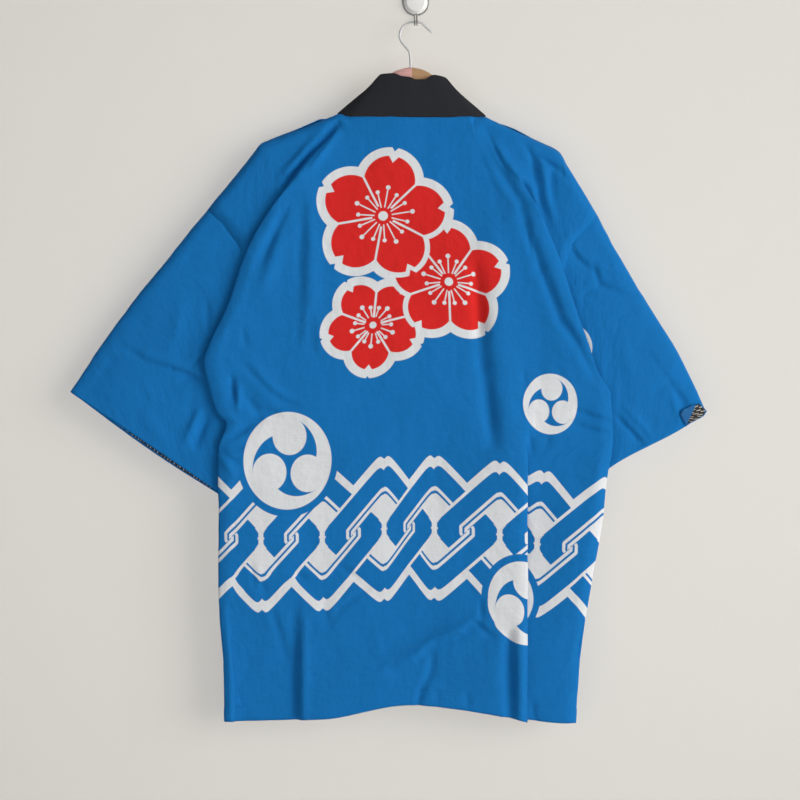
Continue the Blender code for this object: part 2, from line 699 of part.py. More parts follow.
def build_wall_plate(finish):
    """The plate, turned about the line that runs out from the wall."""
    mesh = bpy.data.meshes.new("wall_plate")
    plate = bmesh.new()
    corners = [plate.verts.new((radius * MM, y * MM, 0.0)) for y, radius in PLATE_PROFILE]
    edges = [plate.edges.new(pair) for pair in zip(corners, corners[1:])]
    bmesh.ops.spin(
        plate, geom=corners + edges, cent=(0, 0, 0), axis=(0, 1, 0), angle=2 * math.pi,
        steps=PLATE_SIDES, use_merge=True)
    bmesh.ops.holes_fill(plate, edges=plate.edges, sides=PLATE_SIDES)
    bmesh.ops.recalc_face_normals(plate, faces=plate.faces)
    plate.to_mesh(mesh)
    plate.free()
    add_object("wall_plate", mesh, finish)


def build_wall_wire(finish):
    """One wire: nearly a full ring round the plate's foot, its two ends doubled into a hook."""
    open_angle = math.asin(HOOK_STRAND_X / RING_RADIUS)
    places = []
    for step in range(RING_STEPS + 1):
        turn = open_angle + (2 * math.pi - 2 * open_angle) * step / RING_STEPS
        places.append((-RING_RADIUS * math.sin(turn), RING_Y, -RING_RADIUS * math.cos(turn)))
    down = WALL_HOOK_DROP + WALL_HOOK_RISE
    places.extend((HOOK_STRAND_X, y, z) for y, z in down)
    places.append((0.0, *WALL_HOOK_TIP))
    places.extend((-HOOK_STRAND_X, y, z) for y, z in reversed(down))
    wire("wall_wire", places, WALL_WIRE, True, finish)


def build():
    clear_scene()
    blue_cotton = material("blue cotton", (0.010, 0.150, 0.420), 0.85)
    black_cotton = material("black cotton", (0.020, 0.022, 0.028), 0.85)
    facing_print = material("facing print", (0.200, 0.200, 0.200), 0.85)
    wood = material("wood", (0.420, 0.260, 0.150), 0.50)
    steel = material("steel", (0.620, 0.620, 0.620), 0.30, 1.0)
    white_plastic = material("white plastic", (0.800, 0.800, 0.790), 0.40)
    build_body(blue_cotton)
    build_sleeve("sleeve_left", LEFT, blue_cotton)
    build_sleeve("sleeve_right", RIGHT, blue_cotton)
    build_facing("cuff_facing_left", LEFT, facing_print)
    build_facing("cuff_facing_right", RIGHT, facing_print)
    build_collar(black_cotton)
    build_hanger_bar(wood)
    build_hanger_hook(steel)
    build_wall_plate(white_plastic)
    build_wall_wire(steel)


build()
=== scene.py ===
"""Kimono jacket on a hanger: fine cloth, print, stitching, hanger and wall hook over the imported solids.

Tables and shapes are in millimetres and become metres where a mesh is made. The wall is the plane
y = 0, the jacket's back faces the viewer at negative y. A drop is the length of cloth below the shoulder.
"""
import math
from collections import namedtuple

import bmesh
import bpy
from mathutils import Matrix, Vector, noise


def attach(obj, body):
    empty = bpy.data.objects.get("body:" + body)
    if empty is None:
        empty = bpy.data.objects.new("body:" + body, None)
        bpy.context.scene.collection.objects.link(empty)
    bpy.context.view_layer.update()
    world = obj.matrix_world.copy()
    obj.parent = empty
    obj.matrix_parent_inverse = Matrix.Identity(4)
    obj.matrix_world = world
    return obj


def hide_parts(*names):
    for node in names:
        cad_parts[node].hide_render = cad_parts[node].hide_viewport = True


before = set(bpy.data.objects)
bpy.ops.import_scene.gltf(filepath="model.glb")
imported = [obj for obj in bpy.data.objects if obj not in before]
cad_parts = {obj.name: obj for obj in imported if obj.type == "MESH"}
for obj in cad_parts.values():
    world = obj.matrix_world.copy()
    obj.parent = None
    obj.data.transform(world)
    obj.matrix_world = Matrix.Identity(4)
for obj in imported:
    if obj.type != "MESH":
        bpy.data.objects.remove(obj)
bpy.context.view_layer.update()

MM = 0.001
MM_PER_METRE = 1000.0

# Driving sizes of the cut, and the gaps between its panels
LENGTH = 830.0
ARMHOLE = 310.0
FACING_CLOTH = 1.0
SEAM_GAP = 0.4
SHOULDER_GAP = 0.8
UNDERARM_GAP = 1.6

# Signs of the two layers and of the two sides
BACK = -1.0
FRONT = 1.0
LEFT = -1.0
RIGHT = 1.0

# Depths from the wall: the back and fronts hang on each side of the hanger's plane
HANGER_Y = -32.0
SHOULDER_ROLL = 14.0
SLEEVE_HALF = 9.5
ARMHOLE_SQUARENESS = 6
CUFF_HALF = 9.0
CUFF_SQUARENESS = 4
SIDE_SEAM_HALF = 0.8
CENTRE_X = -7.0
NECK_Z = -160.0
SHOULDER_Z = {LEFT: -160.0, RIGHT: -163.2}

# A fold's rounded edge, the cloth that leads into it and the slant of the layers behind it
FOLD_REACH = 12.0
FOLD_SHARE = 0.45
FOLD_LEAD = 14.0
FOLD_TILT = 0.12
LEAD_LIFT = 0.4
LEAD_LIFT_DROP = 120.0
# Where the back turns in behind the collar at the neck
NECK_TURN = 14.0
NECK_TURN_Y = -43.5

# Rows of every panel, closer together at the shoulder roll and where the side edges turn
DROPS = (
    0, 2, 7, 14, 38, 62, 84, 96, 108, 135, 168, 205, 245, 281, 310,
    338, 366, 398, 414, 430, 458, 510, 590, 680, 760, 830,
)
PLEAT_TIP_DROP = 484
BACK_DROPS = tuple(sorted(DROPS + (PLEAT_TIP_DROP,)))

# How each side of the body folds: the visible fold, the tuck behind it, and the seam behind that
Side = namedtuple("Side", "drop fold_x fold_z tuck_x tuck_z seam_x seam_z face_y flange_y")
LEFT_SIDE = (
    Side(0, -118, -160, -213, -196, -287.5, -288, -45, -43),
    Side(25, -121, -182, -208, -217, -269, -306, -46, -43),
    Side(60, -150, -222, -186, -240, -246, -334, -49, -45),
    Side(84, -168, -246, -178, -256, -235, -357, -51.5, -46.5),
    Side(108, -186, -270, -172, -286, -225, -379, -53.5, -47.5),
    Side(140, -208, -300, -177, -325, -214, -410, -55, -48.5),
    Side(190, -234, -349, -181, -378, -210, -455, -55, -48.5),
    Side(260, -258, -420, -190, -450, -212, -515, -55, -48.5),
    Side(310, -282, -471, -200, -505, -215, -560, -55, -47.5),
    Side(338, -290, -497, -198, -535, -207, -587, -54.5, -46.5),
    Side(366, -284, -525, -197, -562, -205, -611, -54, -46.5),
    Side(410, -272, -567, -197, -600, -204, -641, -53.5, -46.5),
    Side(425, -260, -580, -197, -612, -204, -650, -53.5, -46.5),
    Side(458, -271, -618, -196, -642, -203, -668, -53.5, -46.5),
    Side(550, -270, -708, -198, -722, -205, -740, -53, -46),
    Side(675, -270, -832, -206, -840, -212, -850, -52, -44.5),
    Side(760, -264, -919, -211, -922, -217, -926, -51.5, -42.5),
    Side(830, -262, -990, -216, -990, -221, -990, -51, -42),
)
RIGHT_SIDE = (
    Side(0, 106, -163.5, 197, -207, 251, -296, -45, -43),
    Side(25, 110, -185, 197, -226, 233, -314, -46, -43),
    Side(60, 126, -221, 166, -240, 214, -340, -49, -45),
    Side(84, 141, -245, 151, -256, 207, -360, -51.5, -46.5),
    Side(108, 157, -270, 143, -287, 202, -380, -53.5, -47.5),
    Side(140, 173, -300, 150, -322, 198, -410, -55, -48.5),
    Side(190, 194, -350, 160, -378, 196, -455, -55, -48.5),
    Side(260, 217, -420, 170, -450, 199, -515, -55, -48.5),
    Side(310, 236, -470, 185, -505, 205, -560, -55, -47.5),
    Side(345, 249, -508, 184, -542, 195, -592, -54.5, -46.5),
    Side(380, 267, -542, 182, -574, 191, -620, -54, -46.5),
    Side(445, 269, -607, 179, -632, 187, -660, -54, -46),
    Side(488, 262, -650, 178, -668, 186, -690, -54, -45),
    Side(550, 255, -711, 178, -724, 186, -740, -53, -44),
    Side(650, 239, -810, 182, -818, 190, -828, -51.5, -42),
    Side(775, 223, -933, 195, -936, 201, -938, -50.5, -41.5),
    Side(830, 219, -992, 199, -992, 205, -992, -50, -41),
)

# The one deep pleat, left cloth over right, opening out below the waist
Pleat = namedtuple("Pleat", "drop edge_x depth left_y middle_y right_y")
PLEAT = (
    Pleat(0, 40, -20, -46, -46, -46),
    Pleat(300, 120, -30, -51.5, -51.5, -51.5),
    Pleat(424, 146, -14, -54, -52, -50),
    Pleat(474, 152, 11, -57, -52.5, -48),
    Pleat(510, 152, 14.5, -57.5, -52.5, -47.5),
    Pleat(579, 152, 17, -57.5, -52.3, -47),
    Pleat(668, 152, 19, -57.5, -52, -46.5),
    Pleat(830, 152, 36, -57.5, -51.5, -46),
)

# The hem rises in the middle, where the shoulders carry the cloth
Hem = namedtuple("Hem", "x z")
HEM = (
    Hem(-262, -990), Hem(-160, -989), Hem(-88, -981), Hem(-60, -973), Hem(-22, -967),
    Hem(20, -967), Hem(60, -973), Hem(101, -982), Hem(135, -985), Hem(152, -990), Hem(219, -992),
)

# Depth of the middle of the back
Field = namedtuple("Field", "drop y")
FIELD = (Field(0, -46), Field(60, -47), Field(150, -50.5), Field(830, -50.5))

# Soft ridges and troughs on the back, a row each: where it runs, its height and its half width
Crease = namedtuple("Crease", "x1 z1 x2 z2 height width")
BACK_CREASES = (
    Crease(-122, -190, -148, -228, 3.0, 9),
    Crease(-149, -270, -146, -452, 2.5, 13),
    Crease(-186, -330, -210, -400, 2.0, 10),
    Crease(-225, -519, -181, -556, 2.5, 12),
    Crease(104, -190, 122, -236, 2.0, 9),
    Crease(105, -330, 125, -620, 2.0, 22),
    Crease(83, -856, -38, -916, 2.5, 16),
)
# A soft step down towards the back's left edge, near the hem
STEP_X = -160.0
STEP_TOP_Z = -800.0
STEP_DEPTH = 4.0
STEP_WIDTH = 12.0
STEP_FADE = 120.0
# How much of a crease's height is left at its ends
CREASE_END = 0.35

# Fronts: the visible fold of each, a little inside the back's, and two soft waves below the chest
FrontFold = namedtuple("FrontFold", "drop left_x left_z right_x right_z")
FRONT_FOLD = (
    FrontFold(0, -145, -167, 133, -173.5),
    FrontFold(60, -160, -226, 141, -228),
    FrontFold(84, -170, -248, 146, -250),
    FrontFold(108, -184, -271, 156, -272),
    FrontFold(140, -202, -300, 170, -302),
    FrontFold(260, -250, -420, 210, -420),
    FrontFold(338, -280, -497, 240, -500),
    FrontFold(380, -274, -540, 258, -542),
    FrontFold(458, -264, -618, 260, -618),
    FrontFold(550, -263, -708, 248, -710),
    FrontFold(675, -262, -832, 230, -834),
    FrontFold(830, -254, -982, 212, -984),
)
FRONT_HEM_Z = -964.0
WAVE_DEPTH = 3.0
WAVE_TOP_Z = -330.0
WAVE_PITCH = 92.0
WAVE_FADE = 300.0

# Sleeves: the top fold, the under fold and the sleeve's mouth, each from its first point to its last
Edge = namedtuple("Edge", "share x z")
SLEEVE_TOP = {
    LEFT: (Edge(0, -287.5, -288), Edge(0.31, -348, -363), Edge(0.63, -410.5, -441), Edge(1, -476, -538)),
    RIGHT: (Edge(0, 251, -296), Edge(0.25, 284, -358), Edge(0.8, 373, -508), Edge(1, 399, -564)),
}
SLEEVE_UNDER = {
    LEFT: (Edge(0, -215, -560), Edge(0.5, -228, -640), Edge(1, -232, -702)),
    RIGHT: (Edge(0, 205, -560), Edge(0.5, 209, -640), Edge(1, 200, -705)),
}
SLEEVE_MOUTH = {
    LEFT: (Edge(0, -476, -538), Edge(0.82, -273, -674), Edge(1, -232, -702)),
    RIGHT: (Edge(0, 399, -564), Edge(0.1, 373, -584), Edge(0.6, 268, -641), Edge(1, 200, -705)),
}
SLEEVE_CREASES = {
    LEFT: (
        Crease(-340, -366, -277, -398, 3.0, 12),
        Crease(-407, -474, -293, -522, 2.5, 12),
        Crease(-286, -485, -315, -503, 2.0, 10),
    ),
    RIGHT: (
        Crease(197, -318, 300, -401, 3.0, 13),
        Crease(234, -445, 329, -438, 2.0, 12),
        Crease(270, -570, 307, -602, 2.0, 11),
    ),
}
SLEEVE_SHARES = (0, 0.06, 0.14, 0.23, 0.32, 0.42, 0.52, 0.62, 0.72, 0.82, 0.91, 1)
WALL_SIDE_CUFF_DROP = {LEFT: 8.0, RIGHT: 2.0}

# The printed facing inside each cuff
FACING_SHARES = (0.90, 0.945, 0.99)
FACING_DROPS = (62, 84, 108, 135, 168, 205, 245)

# Collar band: its seam edge and its free edge, down each front and round the back of the neck
Collar = namedtuple("Collar", "drop seam_x seam_y seam_z free_x free_y free_z")
COLLAR_LEG = {
    LEFT: (
        Collar(0, -106.5, -34.5, -153.5, -61, -31, -116),
        Collar(2, -102.6, -28, -158.8, -60, -27, -122),
        Collar(7, -103, -22.5, -164, -58, -20, -134),
        Collar(28, -102, -17, -188, -50, -15, -168),
        Collar(70, -99, -13, -230, -41, -11, -222),
        Collar(240, -92, -11, -392, -33, -9, -392),
        Collar(540, -84, -10, -683, -25, -8, -683),
        Collar(830, -78, -10, -962, -19, -8, -962),
    ),
    RIGHT: (
        Collar(0, 95, -34.5, -157, 52, -31, -119),
        Collar(2, 91.6, -28, -161.8, 51, -27, -126),
        Collar(7, 92, -22.5, -167, 49, -20, -138),
        Collar(28, 91, -17, -192, 40, -15, -172),
        Collar(70, 88, -13, -234, 31, -11, -226),
        Collar(240, 81, -11, -396, 22, -9, -396),
        Collar(540, 72, -10, -685, 13, -8, -685),
        Collar(830, 64, -10, -962, 5, -8, -962),
    ),
}
# Round the neck, the first number counts the rows instead
COLLAR_BACK = (
    Collar(0, -106.5, -34.5, -153.5, -61, -31, -116),
    Collar(1, -90, -42, -158.4, -52.5, -40, -105),
    Collar(1.3, -82, -43.5, -158.8, -47.5, -41.5, -100.8),
    Collar(2, -54, -45.5, -159.4, -31, -43.5, -99.8),
    Collar(2.5, -32, -46, -159.4, -19, -44, -104),
    Collar(3, -12, -46.5, -159.4, -8, -44.5, -105.4),
    Collar(3.4, 4, -46.5, -159.4, 0, -44.5, -108.6),
    Collar(3.8, 22, -46.2, -159.4, 12.4, -44.2, -108.6),
    Collar(4.1, 35, -46, -159.4, 20.7, -44, -103.2),
    Collar(4.4, 46, -45.5, -159.4, 25.5, -43.5, -102.2),
    Collar(5, 76, -42.8, -158.6, 40, -40.8, -105),
    Collar(5.2, 80, -42, -158.6, 43, -40, -107.8),
    Collar(6, 95, -34.5, -157, 52, -31, -119),
)
COLLAR_BOW = 1.5

# Hanger: a bowed wooden bar, given by its top line, its height and its half thickness
Bar = namedtuple("Bar", "x top_z height half")
HANGER_BAR = (
    Bar(-209, -199.5, 14, 3.5), Bar(-206, -198, 18, 5.2), Bar(-195, -193.4, 21, 6.2),
    Bar(-160, -178.5, 23, 6.5), Bar(-118, -163.5, 26, 6.5), Bar(-104, -161.2, 26, 6.5),
    Bar(-94, -160.4, 26, 6.2), Bar(-80, -152, 27, 6.0), Bar(-50, -114, 44, 6.2),
    Bar(-31, -95.8, 48, 6.5), Bar(-18, -91.2, 46, 6.5), Bar(-8, -89.4, 45, 6.5),
    Bar(7, -91.9, 47, 6.5), Bar(21, -98.6, 48, 6.5), Bar(40, -118, 41, 6.2),
    Bar(68, -153, 28, 6.0), Bar(82, -163.6, 26, 6.2), Bar(92, -166, 26, 6.5),
    Bar(106, -167.5, 26, 6.5), Bar(148, -185.5, 23, 6.5), Bar(184, -203.4, 20, 6.2),
    Bar(192, -208, 17, 5.2), Bar(195, -210, 13, 3.5),
)
BAR_SIDES = 12
BAR_STEP = 3.0
BAR_SQUARENESS = 0.75
BAR_CLEARANCE = 0.5
HOOK_WIRE = 3.0
WIRE_SPLIT = 5
WIRE_ROUNDNESS = 6
HOOK_PATH = (
    (-7, -92.4), (-7.4, -84), (-7.8, -76), (-9.5, -68), (-14.3, -62), (-19.3, -55.8), (-22.4, -47),
    (-20.6, -37.8), (-14.3, -30.9), (-6.5, -28), (1.5, -27.5), (8.5, -29.6), (15.2, -36), (22.2, -42.2),
)

# Wall hook: a turned plate, with one wire bent round its foot and doubled into a hook
PLATE_FOOT_RADIUS = 16.6
PLATE_FACE_RADIUS = 13.7
PLATE_PROFILE = (
    (0.0, PLATE_FOOT_RADIUS), (-3.0, PLATE_FOOT_RADIUS), (-4.2, PLATE_FACE_RADIUS + 0.8),
    (-6.8, PLATE_FACE_RADIUS), (-8.0, PLATE_FACE_RADIUS - 1.2),
)
PLATE_SIDES = 96
PLATE_EDGE = 0.7
WALL_WIRE = 2.0
RING_RADIUS = PLATE_FOOT_RADIUS + 0.3 + WALL_WIRE / 2
RING_Y = -1.3
RING_STEPS = 88
HOOK_STRAND_X = 1.6
WALL_HOOK_LIFT = 6.0
WALL_HOOK_DROP = ((-3.2, -15), (-6.5, -20), (-12, -25), (-19, -29), (-26, -30.3), (-33, -30.2))
WALL_HOOK_RISE = ((-38.6, -27.6), (-41.2, -23), (-41.8, -19.6))
WALL_HOOK_TIP = (-41.8, -18)


def hermite(start, end, leave, arrive, share):
    """Cubic between two values with the slopes at its ends."""
    square = share * share
    cube = square * share
    first = (2 * cube - 3 * square + 1) * start + (cube - 2 * square + share) * leave
    return first + (3 * square - 2 * cube) * end + (cube - square) * arrive


def slope_at(keys, values, index):
    """Slope at one row that never lets the curve overshoot its rows."""
    if index == 0:
        return (values[1] - values[0]) / (keys[1] - keys[0])
    before = (values[index] - values[index - 1]) / (keys[index] - keys[index - 1])
    if index == len(keys) - 1:
        return before
    after = (values[index + 1] - values[index]) / (keys[index + 1] - keys[index])
    if before * after <= 0:
        return 0.0
    return 2 * before * after / (before + after)


def read_table(rows, key):
    """Read a table smoothly between its rows; the first column is the key."""
    keys = [row[0] for row in rows]
    if key <= keys[0]:
        return rows[0]
    if key >= keys[-1]:
        return rows[-1]
    last = next(index for index in range(1, len(keys)) if key <= keys[index])
    span = keys[last] - keys[last - 1]
    share = (key - keys[last - 1]) / span
    read = [key]
    for column in range(1, len(rows[0])):
        values = [row[column] for row in rows]
        leave = slope_at(keys, values, last - 1) * span
        arrive = slope_at(keys, values, last) * span
        read.append(hermite(values[last - 1], values[last], leave, arrive, share))
    return type(rows[0])(*read)


def smooth_line(points, pieces):
    """Points along a smooth line through the given ones, with pieces[i] steps in stretch i."""
    keys = list(range(len(points)))
    line = [points[0].copy()]
    for stretch, count in enumerate(pieces):
        for step in range(1, count + 1):
            spot = Vector()
            for axis in range(3):
                values = [point[axis] for point in points]
                leave = slope_at(keys, values, stretch)
                arrive = slope_at(keys, values, stretch + 1)
                spot[axis] = hermite(values[stretch], values[stretch + 1], leave, arrive, step / count)
            line.append(spot)
    return line


def smooth_step(value):
    """A rise from 0 to 1 that is level at both ends."""
    share = min(max(value, 0.0), 1.0)
    return share * share * (3 - 2 * share)


def shoulder_roll(drop):
    """How far the cloth has left the hanger's plane as it comes over the shoulder, 0 to 1."""
    if drop >= SHOULDER_ROLL:
        return 1.0
    return math.sqrt(1 - (1 - drop / SHOULDER_ROLL) ** 2)


def armhole_half(drop):
    """Half the depth between the back and front edges of the armhole."""
    closing = max(0.0, 1 - (drop / ARMHOLE) ** ARMHOLE_SQUARENESS)
    return SLEEVE_HALF * shoulder_roll(drop) * math.sqrt(closing)


def seam_y(layer, drop):
    """Depth of a panel's side edge: open at the armhole, face to face below it."""
    return HANGER_Y + layer * max(SIDE_SEAM_HALF, armhole_half(min(drop, ARMHOLE)))


def across_hanger(y, layer):
    """The back's depth, or its mirror image behind the hanger for a front."""
    return y if layer == BACK else 2 * HANGER_Y - y


def rolled(y, layer, drop):
    """Depth of a point near the shoulder, where both layers meet over the hanger."""
    top = HANGER_Y + layer * SHOULDER_GAP / 2
    return top + (across_hanger(y, layer) - top) * shoulder_roll(drop)


def beside_crease(crease, x, z):
    """How far along a crease a place lies, 0 to 1, how far off it, and how far above its line."""
    run_x = crease.x2 - crease.x1
    run_z = crease.z2 - crease.z1
    length = math.hypot(run_x, run_z)
    along = ((x - crease.x1) * run_x + (z - crease.z1) * run_z) / length
    share = min(max(along / length, 0.0), 1.0)
    off = math.hypot(x - crease.x1 - share * run_x, z - crease.z1 - share * run_z)
    above = ((z - crease.z1) * run_x - (x - crease.x1) * run_z) / length
    return share, off, -above if run_x < 0 else above


def crease_height(creases, x, z):
    """Height of the creases at a place, each fading towards its ends."""
    height = 0.0
    for crease in creases:
        share, off, _ = beside_crease(crease, x, z)
        taper = CREASE_END + (1 - CREASE_END) * math.sin(math.pi * share)
        height += crease.height * taper * math.exp(-(off / crease.width) ** 2)
    return height


def side_keys(row, side, layer, fold_x, fold_z):
    """Points from the lead of the visible fold, round it and the tuck behind, to the side seam."""
    depth = (row.tuck_x - fold_x) * -side
    reach = min(FOLD_REACH, FOLD_SHARE * depth) if depth > 0 else depth / 3
    seam_run = abs(row.seam_x - row.tuck_x)
    behind = min(FOLD_REACH, seam_run / 2)
    behind_share = behind / max(seam_run, 1.0)
    lead_z = fold_z + LEAD_LIFT * FOLD_LEAD * max(0.0, 1 - row.drop / LEAD_LIFT_DROP)
    near_z = fold_z + (row.tuck_z - fold_z) / 3
    far_z = row.tuck_z - (row.tuck_z - fold_z) / 3
    edge_y = seam_y(layer, row.drop)
    seam_back_y = edge_y if layer == BACK else 2 * HANGER_Y - edge_y
    fold_y = (row.face_y + row.flange_y) / 2
    tuck_y = (row.flange_y + seam_back_y) / 2
    tilt = FOLD_TILT * (seam_back_y - row.face_y)
    places = (
        (fold_x - side * FOLD_LEAD, row.face_y, lead_z),
        (fold_x, fold_y, fold_z),
        (fold_x - side * reach, row.flange_y - tilt, near_z),
        (row.tuck_x + side * reach, row.flange_y + tilt, far_z),
        (row.tuck_x, tuck_y, row.tuck_z),
        (row.tuck_x + side * behind, seam_back_y,
         row.tuck_z + (row.seam_z - row.tuck_z) * behind_share),
    )
    keys = [Vector((x, rolled(y, layer, row.drop), z)) for x, y, z in places]
    keys.append(Vector((row.seam_x, edge_y, row.seam_z)))
    return keys


def field_z(x, drop):
    """Height of a row on the middle of the back."""
    hem = read_table(HEM, x).z
    return NECK_Z + (hem - NECK_Z) * drop / LENGTH


def back_relief(x, z):
    """Creases of the back and the soft step near its left edge, towards the viewer."""
    step = smooth_step((STEP_X - x) / STEP_WIDTH + 0.5) * smooth_step((STEP_TOP_Z - z) / STEP_FADE)
    return crease_height(BACK_CREASES, x, z) - STEP_DEPTH * step


def neck_turn(lead, side, drop, middle_y):
    """The point beside a fold's lead where the back turns in behind the collar at the neck."""
    x = lead.x - side * NECK_TURN
    below = min(drop / SHOULDER_ROLL, 1.0)
    y = NECK_TURN_Y + ((middle_y + 2 * lead.y) / 3 - NECK_TURN_Y) * below
    return Vector((x, y, field_z(x, drop)))


def side_table(side):
    """How the body folds on one side."""
    return LEFT_SIDE if side == LEFT else RIGHT_SIDE


def patch(share, down, edges, corners):
    """One coordinate inside a four-sided patch, from its four edges and its four corners."""
    seam, mouth, top, under = edges
    seam_top, seam_under, mouth_top, mouth_under = corners
    along = (1 - share) * seam + share * mouth
    across = (1 - down) * top + down * under
    near = (1 - share) * ((1 - down) * seam_top + down * seam_under)
    far = share * ((1 - down) * mouth_top + down * mouth_under)
    return along + across - near - far


def sleeve_outline(side, share, down):
    """A sleeve's place as seen from the front: share from armhole to mouth, down from top to under fold."""
    table = side_table(side)
    seam = read_table(table, down * ARMHOLE)
    mouth = read_table(SLEEVE_MOUTH[side], down)
    top = read_table(SLEEVE_TOP[side], share)
    under = read_table(SLEEVE_UNDER[side], share)
    seam_under = read_table(table, ARMHOLE)
    ends = (SLEEVE_MOUTH[side][0], SLEEVE_MOUTH[side][-1])
    x_corners = (table[0].seam_x, seam_under.seam_x, ends[0].x, ends[1].x)
    z_corners = (table[0].seam_z, seam_under.seam_z, ends[0].z, ends[1].z)
    x = patch(share, down, (seam.seam_x, mouth.x, top.x, under.x), x_corners)
    return x, patch(share, down, (seam.seam_z, mouth.z, top.z, under.z), z_corners)


def sleeve_point(side, share, around):
    """A point of the sleeve: share runs from armhole to mouth, around from the top fold and back."""
    layer = BACK if around <= 0.5 else FRONT
    down = 2 * around if around <= 0.5 else 2 - 2 * around
    x, z = sleeve_outline(side, share, down)
    start_half = armhole_half(down * ARMHOLE)
    end_half = CUFF_HALF * math.sqrt(max(0.0, 1 - abs(2 * down - 1) ** CUFF_SQUARENESS))
    half = start_half + (end_half - start_half) * smooth_step(share)
    y = HANGER_Y + layer * half
    if layer == BACK:
        y -= crease_height(SLEEVE_CREASES[side], x, z) * math.sin(math.pi * down)
    else:
        z -= WALL_SIDE_CUFF_DROP[side] * share ** 3 * math.sin(math.pi * down)
    gap = SEAM_GAP + UNDERARM_GAP * down ** 4
    return Vector((x + side * gap, y, z))


def bar_section(bar):
    """A rounded section of the hanger's bar, as points round its middle."""
    points = []
    for step in range(BAR_SIDES):
        turn = 2 * math.pi * step / BAR_SIDES
        across = math.copysign(abs(math.cos(turn)) ** BAR_SQUARENESS, math.cos(turn))
        up = math.copysign(abs(math.sin(turn)) ** BAR_SQUARENESS, math.sin(turn))
        z = bar.top_z - BAR_CLEARANCE - bar.height / 2 * (1 - up)
        points.append(Vector((bar.x, HANGER_Y + bar.half * across, z)))
    return points


# Fineness and thickness of the visible cloth, and half of the body's cut width
ROW_STEP = 4.0
SLEEVE_STEP = 3.6
SHELL = 1.0
WELD = 0.02
LOFT_WELD = 0.001
HALF_WIDTH = 325.0

# Steps between a row's points: left seam to fold, fold to pleat, the pleat, right fold to seam
BACK_PIECES = (5, 5, 5, 8, 5, 5) + (4, 26, 30, 42) + (6, 6, 3, 6, 6) + (20, 4) + (5, 5, 8, 5, 5, 5)
BACK_FOLD_STRETCHES = 6
BACK_CENTRE_STRETCHES = 9
FRONT_PIECES = (26, 26, 6, 6, 8, 6, 6, 6)
FRONT_STRETCHES = 2

